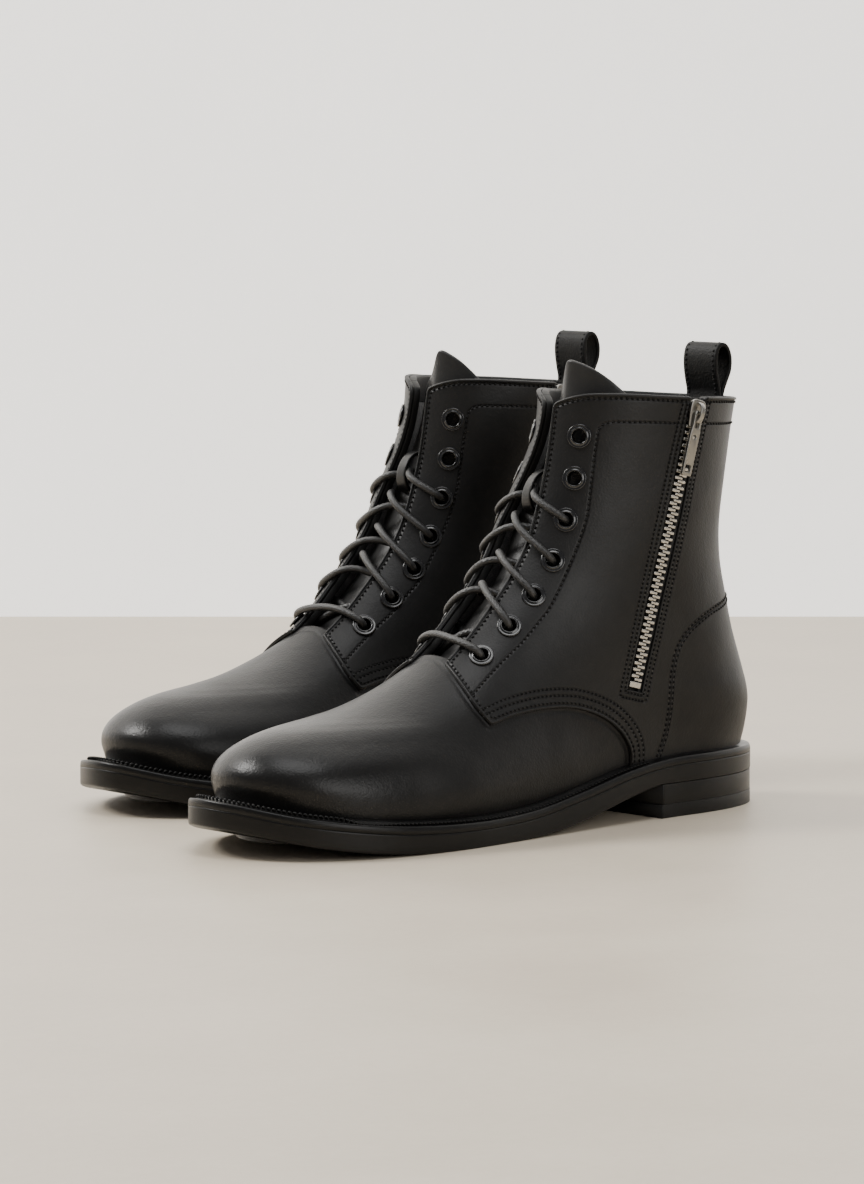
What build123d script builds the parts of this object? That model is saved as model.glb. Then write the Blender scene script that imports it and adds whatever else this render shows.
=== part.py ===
from build123d import *
import math
import os
import numpy as np

# A pair of lace-up ankle boots with an inside zip, built on a stacked low heel
# with a stitched welt.  Each boot is drawn in its own frame (x from the rear of
# the heel towards the toe, y towards the wearer's left, z up from the ground)
# and is then set in the pair's frame: +X towards the toes, origin on the ground
# in the middle of the pair's bounding box.

os.makedirs("parts", exist_ok=True)

# ------------------------------------------------------------ driving dimensions
SOLE_LENGTH = 305.0          # outsole, heel to toe (EU 42-43)
SOLE_HALF_MAX = 53.5         # widest half width of the outsole, at the ball
HEEL_LENGTH = 80.0           # heel block, rear to breast
TOP_LIFT = 6.0               # rubber top lift under the heel
WELT_THICK = 3.6             # leather welt
SHAFT_TOP = 187.4            # collar height at the front
T_SKIN = -1.4                # outer face of the quarters, counted from the vamp's face
T_VAMP = 0.0                 # outer face of the vamp
T_TAPE = 0.8                 # inner face of the zip tape
T_VAMP_IN = 1.6              # inner face of the vamp
T_BACK = 2.6                 # inner face of the stiffeners and interlining
T_LIN_OUT = 2.7              # lining, outer face
T_LIN_IN = 3.7               # lining, inner face
T_FOOT = 3.9                 # edge of the insole
T_TONGUE_OUT = 7.4           # tongue, outer face
T_TONGUE_IN = 9.4            # tongue, inner face
T_STAY = -2.4                # outer face of the backstay
THROAT_HALF = 10.5           # half gap between the two facings
EYELET_R = 5.3               # eyelet flange radius
EYELET_HOLE_R = 3.0          # eyelet hole radius
EYELET_BARREL_R = 3.55       # barrel radius, and the hole cut in the leather
LACE_D = 3.2                 # round waxed lace
STRAP_W = 21.0               # pull loop strap width
STRAP_T = 1.8                # pull loop strap thickness
ZIP_SLIT_HALF = 4.6          # half width of the slit that shows the teeth
ZIP_PITCH = 2.85             # tooth pitch
ZIP_TOOTH_T = 2.4            # tooth thickness
PAIR_STEP_X = -42.0          # right boot stands this far behind the left one
PAIR_STEP_Y = -133.0         # and this far to the wearer's right

# ---------------------------------------------------------------- last profiles
FRONT = [(291.5, 5), (291.5, 14), (291.8, 24), (292.6, 29), (291.6, 35), (287, 41),
         (279.5, 45.8), (269, 49.4), (255, 51.6), (240, 53.6), (224, 56.8), (208, 61.6),
         (194.5, 67.2), (183, 73.8), (171.5, 83), (160, 94.6), (148.5, 107), (139, 120.5),
         (132.5, 136), (127.5, 153), (124, 171), (122, 186), (121, 194), (120.4, 207)]
BACK = [(7.5, 5), (7.5, 18), (7.4, 26.5), (6.8, 32), (6.8, 38), (7.2, 44), (8.2, 51),
        (10, 58), (12.6, 66), (16, 75), (19.6, 85), (22.6, 96), (25, 108), (26, 121),
        (25.3, 134), (23.5, 148), (21.3, 162), (19, 175), (17.5, 184), (16.6, 194), (16, 207)]
PAIRS = [((291.5, 5), (7.5, 5)), ((291.5, 12), (7.5, 12)), ((291.6, 35), (6.8, 36)),
         ((279.5, 45.8), (7.7, 48)), ((255, 51.6), (10, 57)), ((224, 56.8), (13.5, 68)),
         ((183, 73.8), (19.6, 85)), ((148.5, 107), (25, 108)), ((132.5, 136), (25.3, 134)),
         ((124, 171), (19.6, 171)), ((120.4, 207), (16, 207))]
KEYS = [0, .06, .16, .26, .36, .46, .58, .70, .82, .92, 1]
STATIONS = [0, .06, .16, .20, .26, .31, .36, .41, .46, .52, .58, .64, .70, .82, .92, 1]
FOOT_X = [0, 30, 55, 80, 110, 140, 170, 200, 225, 245, 265, 300]
FOOT_LAT = [29.5, 30, 31, 33, 36, 40, 44, 47.4, 48.3, 46.8, 44.8, 42.5]
FOOT_MED = [29, 29.5, 30.3, 31, 31, 33.3, 38, 44, 47, 46.8, 44.8, 42.5]
SHAFT_Z = [0, 60, 90, 122, 150, 184, 200]
SHAFT_LAT = [36, 36.2, 38, 40.2, 42.2, 44.4, 45.4]
SHAFT_MED = [34.5, 34.5, 35.5, 37.5, 40, 43, 44]
WELT_X = [0, 40, 75, 100, 130, 160, 185, 210, 240, 265, 285, 305]
WELT_Z = [26, 26.6, 26, 23.1, 17.2, 12.4, 11.0, 11.2, 12.8, 15.6, 19.0, 24.6]
OUTLINE = [(0, 0), (2.5, 10.5), (10, 20.5), (24, 29), (45, 34.5), (75, 37), (110, 41),
           (145, 45), (175, 49), (200, 52.3), (222, 53.5), (245, 51.6), (265, 46),
           (282, 36.5), (295, 24), (303, 9), (305, -3), (302.5, -14), (292.5, -26),
           (280, -36.5), (265, -46), (245, -51), (222, -52), (200, -48.5), (175, -42),
           (145, -37), (110, -34.5), (75, -35.5), (45, -33.5), (24, -28.5), (10, -20.5),
           (2.5, -10.5)]
TREAD = [(80, 15), (100, 11.5), (115, 8.0), (130, 4.6), (143, 2.3), (155, 1), (175, 0),
         (205, 0), (218, 0.2), (230, 0.6), (243, 1.3), (255, 2.4), (268, 4.2), (280, 6.4),
         (292, 9.6), (306, 13.6)]


def curve(points, n=24):
    """Smooth polyline through the points."""
    p = np.asarray(points, float)
    q = np.vstack([2 * p[0] - p[1], p, 2 * p[-1] - p[-2]])
    out = []
    for i in range(1, len(q) - 2):
        a, b, c, d = q[i - 1:i + 3]
        t = np.linspace(0, 1, n, endpoint=False)[:, None]
        u, v, w = [math.sqrt(np.linalg.norm(k)) for k in (b - a, c - b, d - c)]
        m1 = (c - b) + v * ((b - a) / u - (c - a) / (u + v))
        m2 = (c - b) + v * ((d - c) / w - (d - b) / (v + w))
        out.append((2 * t**3 - 3 * t**2 + 1) * b + (t**3 - 2 * t**2 + t) * m1
                   + (-2 * t**3 + 3 * t**2) * c + (t**3 - t**2) * m2)
    out.append(p[-1:])
    return np.vstack(out)


def table(x, xs, ys):
    c = curve(np.c_[xs, ys])
    return np.interp(x, c[:, 0], c[:, 1])


FC = curve(FRONT, 12)
BC = curve(BACK, 12)


def signed(p, c, sign):
    """Signed distance to a profile, positive inside the boot."""
    a, b = c[:-1], c[1:]
    ab = b - a
    t = np.clip(((p - a) * ab).sum(1) / (ab**2).sum(1), 0, 1)
    r = p - (a + t[:, None] * ab)
    d = np.hypot(r[:, 0], r[:, 1])
    i = int(np.argmin(d))
    cr = ab[i, 0] * (p[1] - a[i, 1]) - ab[i, 1] * (p[0] - a[i, 0])
    return sign * d[i] * (1 if cr > 0 else -1)


def cap(t, p):
    t = min(max(t, 0.0), 1.0)
    return (1 - (1 - t)**p)**(1 / p)


def ztop(x):
    return float(table(x, WELT_X, WELT_Z))


def half_width(x, z, side, t=0.0):
    """Half width of the upper at offset t (inwards), at a point of the side view."""
    foot = float(table(x, FOOT_X, FOOT_LAT if side > 0 else FOOT_MED))
    shaft = float(table(z, SHAFT_Z, SHAFT_LAT if side > 0 else SHAFT_MED))
    wz = min(max((z - 26) / 32, 0), 1)
    wx = min(max((190 - x) / 80, 0), 1)
    w = wz * wz * (3 - 2 * wz) * wx * wx * (3 - 2 * wx)
    full = foot * (1 - w) + shaft * w
    full += 1.6 * math.exp(-((z - ztop(x) - 16) / 14)**2) * min(max((x - 150) / 60, 0), 1)
    full += 1.8 * math.exp(-((z - 46) / 15)**2) * min(max((70 - x) / 40, 0), 1)
    lf = float(table(x, [0, 60, 110, 150, 190, 230, 262, 285, 305],
                     [58, 58, 59, 56, 48, 43, 46, 56, 60]))
    lb = float(table(z, [0, 30, 50, 90, 130, 200], [44, 44, 42, 47, 57, 64]))
    p = np.array([x, z])
    df = signed(p, FC, 1.0) - t
    db = signed(p, BC, -1.0) - t
    return (full - t) * cap(df / (lf - t), 2.1) * cap(db / (lb - t), 2.15)


def skin_normal(x, z, side, t=T_SKIN):
    e = 0.8
    gx = (half_width(x + e, z, side, t) - half_width(x - e, z, side, t)) / (2 * e)
    gz = (half_width(x, z + e, side, t) - half_width(x, z - e, side, t)) / (2 * e)
    n = np.array([-gx, side, -gz])
    return n / np.linalg.norm(n)


def arc_frac(c, p):
    d = np.r_[0, np.cumsum(np.hypot(*np.diff(c, axis=0).T))]
    return d[int(np.argmin(((c - np.array(p))**2).sum(1)))] / d[-1]


def arc_point(c, f):
    d = np.r_[0, np.cumsum(np.hypot(*np.diff(c, axis=0).T))]
    d = d / d[-1]
    return np.array([np.interp(f, d, c[:, 0]), np.interp(f, d, c[:, 1])])


F_KEYS = [arc_frac(FC, a) for a, b in PAIRS]
B_KEYS = [arc_frac(BC, b) for a, b in PAIRS]


def cross(a, b, c, sign, t):
    """Where the line from a to b meets the profile's offset t, from a's side."""
    lo, hi = -0.12, 0.5
    for _ in range(40):
        mid = (lo + hi) / 2
        if signed(a + (b - a) * mid, c, sign) < t:
            lo = mid
        else:
            hi = mid
    return (lo + hi) / 2


def body_solid(t):
    """Solid inside the upper's surface at offset t, lofted through tilted sections."""
    with BuildPart() as solid:
        for v in STATIONS:
            f = arc_point(FC, float(np.clip(table(v, KEYS, F_KEYS), 0, 1)))
            b = arc_point(BC, float(np.clip(table(v, KEYS, B_KEYS), 0, 1)))
            s0 = cross(b, f, BC, -1.0, t)
            s1 = 1 - cross(f, b, FC, 1.0, t)
            d = f - b
            ln = np.linalg.norm(d)
            sec = Plane(origin=(b[0], 0, b[1]), x_dir=(d[0] / ln, 0, d[1] / ln),
                        z_dir=(-d[1] / ln, 0, d[0] / ln))
            n = 13
            half = {}
            for side in (1, -1):
                pts = []
                for k in range(0, n + 1):
                    s = s0 + (s1 - s0) * (1 - math.cos(math.pi * k / n)) / 2
                    q = b + d * s
                    y = 0.0 if k in (0, n) else half_width(q[0], q[1], side, t) * side
                    pts.append((s * ln, y))
                half[side] = pts
            with BuildSketch(sec):
                with BuildLine():
                    Spline(*half[1])
                    Spline(*half[-1][::-1])
                make_face()
        loft(ruled=True)
    return solid.part


OFFSETS = [T_STAY, T_SKIN, T_VAMP, T_TAPE, T_VAMP_IN, T_BACK, T_LIN_OUT, T_LIN_IN, T_FOOT,
           T_TONGUE_OUT, T_TONGUE_IN]
BODY = {t: body_solid(t) for t in OFFSETS}

# ------------------------------------------------------- side view panel borders
GRID = [float(v) for v in range(-22, 329, 10)]


def zt(x):
    """Height of the welt's top, straight between stations 10 mm apart."""
    return float(np.interp(x, GRID, [ztop(min(max(g, 0), 305)) for g in GRID]))


def along(x0, x1, dz=0.0):
    """Points on the welt's top from x0 to x1, raised by dz."""
    mid = [g for g in GRID if min(x0, x1) < g < max(x0, x1)]
    if x1 < x0:
        mid = mid[::-1]
    return [(g, zt(g) + dz) for g in [x0] + mid + [x1]]


SEAM = [(97.1, zt(97.1)), (97.8, 30.2), (101.9, 37), (108.6, 43.1), (118.8, 48.5),
        (131.2, 52.2), (143.5, 53.4), (156.1, 53.1), (169, 51.6), (182.9, 49.2),
        (184.4, 63.8), (180.4, 76.1), (180.4, 100)]
UNDER = [(89.5, zt(89.5)), (90.5, 33), (96, 42), (105, 49.5), (117, 55.5), (131.5, 59.5),
         (144.8, 60.8), (158, 60.5), (172, 59), (178, 63), (178, 100)]
FRONT_CLEAR = [(168, 132), (150, 165), (131, 168)]
COLLAR = [(123.6, 175), (122.3, 180.5), (120.3, 184.3), (117, 186.6), (112, 187.4),
          (98, 187.1), (78, 185.8), (40, 184), (17, 182.6), (-12, 182.2)]
FACING_LOW = [(150, 177), (98, 174.8), (78, 173.8), (40, 171.6), (-12, 169.8)]
COUNTER = [(-12, 96.5), (25, 94.5), (39.9, 91.8), (52.2, 89.1), (61.1, 85.2), (67.1, 80.8),
           (71.9, 74.7), (73.9, 67.5), (74.9, 58.2), (74.9, 48.9), (75.6, 39.6),
           (77, 33.1), (78.8, zt(78.8))]
STIFF = [(-12, 74), (30, 71), (48, 62), (58, 48), (62, zt(62))]

EYELET_XZ = [(117.5, 168.8), (120.4, 150.7), (125.2, 132.9), (132.4, 115.7),
             (143.2, 101.2), (156.7, 88.8), (171.7, 77.0)]


def eyelet(k, side):
    """Eyelet k (1 at the top to 7), its centre on the leather and its outward normal."""
    x, z = EYELET_XZ[k - 1]
    y = half_width(x, z, 1, T_SKIN)
    if side < 0:
        lo, hi = x - 8, x + 8
        for _ in range(30):
            mid = (lo + hi) / 2
            if half_width(mid, z, -1, T_SKIN) > y:
                lo = mid
            else:
                hi = mid
        x = (lo + hi) / 2
    n = skin_normal(x, z, side)
    return np.array([x, y * side, z]), n


def front_point(f, y, t):
    """Point of the offset t surface at half width y, in from the front profile at f."""
    p = arc_point(FC, f)
    q = arc_point(FC, f + 0.002) - arc_point(FC, f - 0.002)
    q = q / np.linalg.norm(q)
    n = np.array([-q[1], q[0]])
    lo, hi = -6.0, 45.0
    for _ in range(40):
        mid = (lo + hi) / 2
        r = p + n * mid
        if half_width(r[0], r[1], 1 if y >= 0 else -1, t) < abs(y) + 1e-6:
            lo = mid
        else:
            hi = mid
    r = p + n * hi
    return np.array([r[0], y, r[1]])


TOE_I = OUTLINE.index((305, -3))


def ring(inset):
    """Outsole outline set in by a distance: its lateral and its medial half."""
    c = curve(OUTLINE[-3:] + OUTLINE + OUTLINE[:3], 6)[18:-18]
    g = np.gradient(c, axis=0)
    g = g / np.linalg.norm(g, axis=1)[:, None]
    q = c + np.c_[g[:, 1], -g[:, 0]] * inset
    p = [tuple(v) for v in q[::6][:len(OUTLINE)]]
    return p[:TOE_I + 1], p[TOE_I:] + p[:1]


def save(part, side, name):
    """Set a finished piece in the pair's frame and write it."""
    sx, sy = -131.5, 66.5
    if side == "right":
        part = mirror(part, about=Plane.XZ)
        sx, sy = sx + PAIR_STEP_X, sy + PAIR_STEP_Y
    placed = Pos(sx, sy, 0) * part
    placed.label = f"{side}_{name}"
    export_step(placed, f"parts/{side}_{name}.step")


# ------------------------------------------------------------------- sole unit
with BuildPart() as outsole:
    with BuildSketch(Plane.XZ):
        with BuildLine():
            Polyline(*(along(-5, 310, -WELT_THICK) + [(310, 14.6)] + TREAD[::-1] + [(-5, 15)]),
                     close=True)
        make_face()
    extrude(amount=80, both=True)
    with BuildSketch(Plane.XY.offset(-4)):
        with BuildLine():
            Spline(*ring(0)[0])
            Spline(*ring(0)[1])
        make_face()
    extrude(amount=60, mode=Mode.INTERSECT)

with BuildPart() as heel_block:
    with BuildSketch(Plane.XY.offset(TOP_LIFT)):
        with BuildLine():
            Spline(*ring(0.6)[0])
            Spline(*ring(0.6)[1])
        make_face()
        with Locations((HEEL_LENGTH + 150, 0)):
            Rectangle(300, 200, mode=Mode.SUBTRACT)
    extrude(amount=15 - TOP_LIFT)

with BuildPart() as heel_top_lift:
    with BuildSketch(Plane.XY):
        with BuildLine():
            Spline(*ring(0.2)[0])
            Spline(*ring(0.2)[1])
        make_face()
        with Locations((HEEL_LENGTH + 150.6, 0)):
            Rectangle(300, 200, mode=Mode.SUBTRACT)
    extrude(amount=TOP_LIFT)

with BuildPart() as welt:
    with BuildSketch(Plane.XZ):
        with BuildLine():
            Polyline(*(along(-5, 310) + along(310, -5, -WELT_THICK)), close=True)
        make_face()
    extrude(amount=80, both=True)
    with BuildSketch(Plane.XY):
        with BuildLine():
            Spline(*ring(0.4)[0])
            Spline(*ring(0.4)[1])
        make_face()
        with BuildLine():
            Polyline(*(ring(13)[0][:-1] + ring(13)[1][:-1]), close=True)
        make_face(mode=Mode.SUBTRACT)
    extrude(amount=60, mode=Mode.INTERSECT)

with BuildPart() as welt_stitching:
    with BuildSketch(Plane.XZ):
        with BuildLine():
            Polyline(*(along(-5, 310, 0.6) + along(310, -5)), close=True)
        make_face()
    extrude(amount=80, both=True)
    with BuildSketch(Plane.XY):
        with BuildLine():
            Polyline(*(ring(0.9)[0][:-1] + ring(0.9)[1][:-1]), close=True)
        make_face()
        with BuildLine():
            Polyline(*(ring(1.9)[0][:-1] + ring(1.9)[1][:-1]), close=True)
        make_face(mode=Mode.SUBTRACT)
        with Locations((-60, 0)):
            Rectangle(300, 200, mode=Mode.SUBTRACT)
    extrude(amount=60, mode=Mode.INTERSECT)

with BuildPart() as shank:
    with BuildSketch(Plane.XZ):
        with BuildLine():
            Polyline(*(along(58, 172, -1.0) + along(172, 58, -2.4)), close=True)
        make_face()
    extrude(amount=7, both=True)

with BuildPart() as cork_filler:
    with BuildSketch(Plane.XZ):
        with BuildLine():
            Polyline(*(along(-5, 310) + along(310, -5, -WELT_THICK)), close=True)
        make_face()
    extrude(amount=80, both=True)
    with BuildSketch(Plane.XY):
        with BuildLine():
            Polyline(*(ring(13.05)[0][:-1] + ring(13.05)[1][:-1]), close=True)
        make_face()
    extrude(amount=60, mode=Mode.INTERSECT)
    add(shank.part, mode=Mode.SUBTRACT)

with BuildPart() as insole:
    add(BODY[T_FOOT])
    with BuildSketch(Plane.XZ):
        with BuildLine():
            Polyline(*(along(-5, 310, 2.8) + along(310, -5)), close=True)
        make_face()
    extrude(amount=80, both=True, mode=Mode.INTERSECT)

with BuildPart() as footbed:
    add(BODY[T_FOOT])
    with BuildSketch(Plane.XZ):
        with BuildLine():
            Polyline(*(along(-5, 310, 5.6) + along(310, -5, 2.8)), close=True)
        make_face()
    extrude(amount=80, both=True, mode=Mode.INTERSECT)

# ---------------------------------------------------------- forefoot of the upper
VAMP_EDGE = UNDER + [(330, 100), (330, zt(310))] + along(310, 89.5)[:-1]

with BuildPart() as vamp:
    add(BODY[T_VAMP])
    add(BODY[T_VAMP_IN], mode=Mode.SUBTRACT)
    with BuildSketch(Plane.XZ):
        with BuildLine():
            Polyline(*VAMP_EDGE, close=True)
        make_face()
    extrude(amount=90, both=True, mode=Mode.INTERSECT)

with BuildPart() as toe_puff:
    add(BODY[T_VAMP_IN])
    add(BODY[T_BACK], mode=Mode.SUBTRACT)
    with BuildSketch(Plane.XZ):
        with BuildLine():
            Polyline(*([(244, 100), (330, 100), (330, zt(310))] + along(310, 244)), close=True)
        make_face()
    extrude(amount=90, both=True, mode=Mode.INTERSECT)

with BuildPart() as vamp_lining:
    add(BODY[T_VAMP_IN])
    add(BODY[T_BACK], mode=Mode.SUBTRACT)
    with BuildSketch(Plane.XZ):
        with BuildLine():
            Polyline(*(UNDER + [(243.8, 100)] + along(243.8, 89.5)[:-1]), close=True)
        make_face()
    extrude(amount=90, both=True, mode=Mode.INTERSECT)

# ----------------------------------------------------------- rear of the upper
with BuildPart() as counter_panel:
    add(BODY[T_SKIN])
    add(BODY[T_VAMP], mode=Mode.SUBTRACT)
    with BuildSketch(Plane.XZ):
        with BuildLine():
            Polyline(*(COUNTER + along(78.8, -12)[1:]), close=True)
        make_face()
    extrude(amount=90, both=True, mode=Mode.INTERSECT)

with BuildPart() as heel_stiffener:
    add(BODY[T_VAMP])
    add(BODY[T_BACK], mode=Mode.SUBTRACT)
    with BuildSketch(Plane.XZ):
        with BuildLine():
            Polyline(*(STIFF + along(62, -12)[1:]), close=True)
        make_face()
    extrude(amount=90, both=True, mode=Mode.INTERSECT)

with BuildPart() as backstay:
    add(BODY[T_STAY])
    add(BODY[T_SKIN], mode=Mode.SUBTRACT)
    with BuildSketch(Plane.XZ):
        with BuildLine():
            Polyline((-12, 91), (50, 91), (50, 184.3), (40, 184), (17, 182.6), (-12, 182.2),
                     close=True)
        make_face()
    extrude(amount=6.5, both=True, mode=Mode.INTERSECT)

LOOP_LINE = [(21.3, 168), (18.5, 184), (16.6, 188.5), (14.1, 194), (13.9, 200),
             (16.2, 204.6), (18.6, 205.5), (21, 204.3), (22.4, 200), (22.3, 194),
             (21.3, 188.5), (20.4, 184), (23.15, 168)]
loop_mid = curve(LOOP_LINE, 4)
loop_dir = np.gradient(loop_mid, axis=0)
loop_dir = loop_dir / np.linalg.norm(loop_dir, axis=1)[:, None]
loop_nrm = np.c_[-loop_dir[:, 1], loop_dir[:, 0]] * (STRAP_T / 2)
loop_edge = [tuple(v) for v in loop_mid + loop_nrm]
loop_gap = [tuple(v) for v in loop_mid - loop_nrm if v[1] > 186]

with BuildPart() as pull_loop:
    with BuildSketch(Plane.XZ):
        with BuildLine():
            Polyline(*loop_edge, close=True)
        make_face()
        with BuildLine():
            Polyline(*loop_gap, close=True)
        make_face(mode=Mode.SUBTRACT)
    extrude(amount=STRAP_W / 2, both=True)

with BuildPart() as tongue:
    add(BODY[T_TONGUE_OUT])
    add(BODY[T_TONGUE_IN], mode=Mode.SUBTRACT)
    with BuildSketch(Plane.XZ):
        with BuildLine():
            Polyline((189, 46), (160, 58), (140, 74), (122, 94), (108, 120), (98, 150),
                     (92, 175), (90, 200.5), (140, 200.5), (150, 140), (189, 90), close=True)
        make_face()
    extrude(amount=24, both=True, mode=Mode.INTERSECT)
with BuildPart() as tongue_root:
    add(BODY[T_LIN_OUT])
    add(BODY[T_TONGUE_OUT], mode=Mode.SUBTRACT)
    with BuildSketch(Plane.XZ):
        with BuildLine():
            Polyline((180.5, 45), (188.5, 45), (188.5, 90), (180.5, 90), close=True)
        make_face()
    extrude(amount=18, both=True, mode=Mode.INTERSECT)
with BuildPart() as tongue_whole:
    add(tongue.part)
    add(tongue_root.part)

# leather keeper loop sewn on the tongue
K_F = arc_frac(FC, (127.5, 153)) - 0.012
k_p = arc_point(FC, K_F)
k_q = arc_point(FC, K_F + 0.002) - arc_point(FC, K_F - 0.002)
k_q = k_q / np.linalg.norm(k_q)
k_n = np.array([k_q[1], -k_q[0]])
k_base = k_p - k_n * (T_TONGUE_OUT + 0.35)
keeper_plane = Plane(origin=(k_base[0], 0, k_base[1]), x_dir=(0, 1, 0), z_dir=(k_q[0], 0, k_q[1]))
KEEP_S = 1 if keeper_plane.y_dir.dot(Vector(k_n[0], 0, k_n[1])) > 0 else -1

with BuildPart() as lace_keeper:
    with BuildSketch(keeper_plane.offset(-4.5)):
        with BuildLine():
            Polyline((-9.6, 0), (-9.2, KEEP_S * 4.6), (-6.8, KEEP_S * 8.2), (0, KEEP_S * 9.4),
                     (6.8, KEEP_S * 8.2), (9.2, KEEP_S * 4.6), (9.6, 0), (7.8, 0),
                     (7.4, KEEP_S * 4.0), (5.8, KEEP_S * 6.5), (0, KEEP_S * 7.6),
                     (-5.8, KEEP_S * 6.5), (-7.4, KEEP_S * 4.0), (-7.8, 0), close=True)
        make_face()
    extrude(amount=9)
    add(BODY[T_TONGUE_OUT], mode=Mode.SUBTRACT)


# ------------------------------------------------------------------------ lace
def v3(p):
    return tuple(float(c) for c in p)


def hole_point(k, side, t):
    c, n = eyelet(k, side)
    return c - n * (t - T_SKIN)


def facing_frac(k, side, up):
    """Front profile station level with eyelet k, moved up by a share of the pitch."""
    def station(j):
        c, n = eyelet(j, side)
        return arc_frac(FC, nearest_front(c))
    a = station(k)
    b = station(k - 1) if k > 1 else a + 0.03
    return a + (b - a) * up


def nearest_front(c):
    d = ((FC - np.array([c[0], c[2]]))**2).sum(1)
    return FC[int(np.argmin(d))]


LACE_OUT = T_SKIN - 0.9 - LACE_D / 2 - 0.6
LACE_IN = (T_LIN_IN + T_TONGUE_OUT) / 2


def lace_half(side):
    """Lace from the middle of the lowest bar up one side, ending under the keeper."""
    pts = []
    pts.append(front_point(facing_frac(7, side, 0.0), side * 9.0, LACE_OUT))
    pts.append(hole_point(7, side, LACE_OUT))
    pts.append(hole_point(7, side, LACE_IN))
    s = side
    # first crossing, inside, to the other side's sixth eyelet
    mid = front_point(facing_frac(7, s, 0.5), 0.0, LACE_IN - (1.8 if s < 0 else -0.6))
    pts.append(mid)
    pts.append(hole_point(6, -s, LACE_IN))
    pts.append(hole_point(6, -s, LACE_OUT))
    s = -s
    for k in (6, 5, 4):
        lift = 0.6 if s > 0 else 4.2
        pts.append(front_point(facing_frac(k, s, 0.24), s * 8.5, LACE_OUT + (0.4 if s > 0 else 0.8)))
        pts.append(front_point(facing_frac(k, s, 0.52), s * -0.5, LACE_OUT + lift))
        pts.append(front_point(facing_frac(k, s, 0.72), s * -11.0, LACE_IN))
        pts.append(hole_point(k - 1, -s, LACE_IN))
        pts.append(hole_point(k - 1, -s, LACE_OUT))
        s = -s
    # from the third eyelet through the keeper
    off = 0.004 if s > 0 else -0.004
    pts.append(front_point(facing_frac(3, s, 0.30), s * 10.0, LACE_OUT + 1.2))
    pts.append(front_point(K_F + off, s * 4.0, T_TONGUE_OUT - 4.6))
    pts.append(front_point(K_F + off * 1.6, s * -5.5, T_TONGUE_OUT - 3.6))
    pts.append(front_point(K_F + off * 1.6 + 0.004, s * -12.5, LACE_IN + 0.1))
    return pts


LACE_PTS = lace_half(1)[::-1] + lace_half(-1)


def radii(points):
    out = []
    for a, b, c in zip(points[:-2], points[1:-1], points[2:]):
        u, w = b - a, c - b
        lu, lw = np.linalg.norm(u), np.linalg.norm(w)
        turn = math.acos(max(-1, min(1, float(np.dot(u, w) / (lu * lw)))))
        out.append(min(60.0, 0.45 * min(lu, lw) / math.tan(max(turn, 0.02) / 2)))
    return out


LACE_R = radii(LACE_PTS)
with BuildPart() as lace:
    with BuildLine() as lace_path:
        FilletPolyline(*[v3(p) for p in LACE_PTS], radius=LACE_R)
    with BuildSketch(Plane(origin=lace_path.line @ 0, z_dir=lace_path.line % 0)):
        Circle(LACE_D / 2)
    sweep()
lace_len = sum(e.length for e in lace_path.edges())
print("lace length %.1f  volume %.1f  section x length %.1f  smallest radius %.2f" % (
    lace_len, lace.part.volume, math.pi * (LACE_D / 2)**2 * lace_len, min(LACE_R)))

# --------------------------------------------------------------------- eyelets
with BuildPart() as eyelets:
    for sd in (1, -1):
        for k in range(1, 8):
            c, n = eyelet(k, sd)
            with BuildSketch(Plane(origin=v3(c + n * 0.05), z_dir=v3(n))):
                Circle(EYELET_R)
                Circle(EYELET_HOLE_R, mode=Mode.SUBTRACT)
            extrude(amount=0.9)
            with BuildSketch(Plane(origin=v3(c + n * 0.05), z_dir=v3(n))):
                Circle(EYELET_BARREL_R)
                Circle(EYELET_HOLE_R, mode=Mode.SUBTRACT)
            extrude(amount=-5.0)

with BuildPart() as eyelet_holes:
    for sd in (1, -1):
        for k in range(1, 8):
            c, n = eyelet(k, sd)
            with BuildSketch(Plane(origin=v3(c + n * 4), z_dir=v3(n))):
                Circle(EYELET_BARREL_R)
            extrude(amount=-11)

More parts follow.
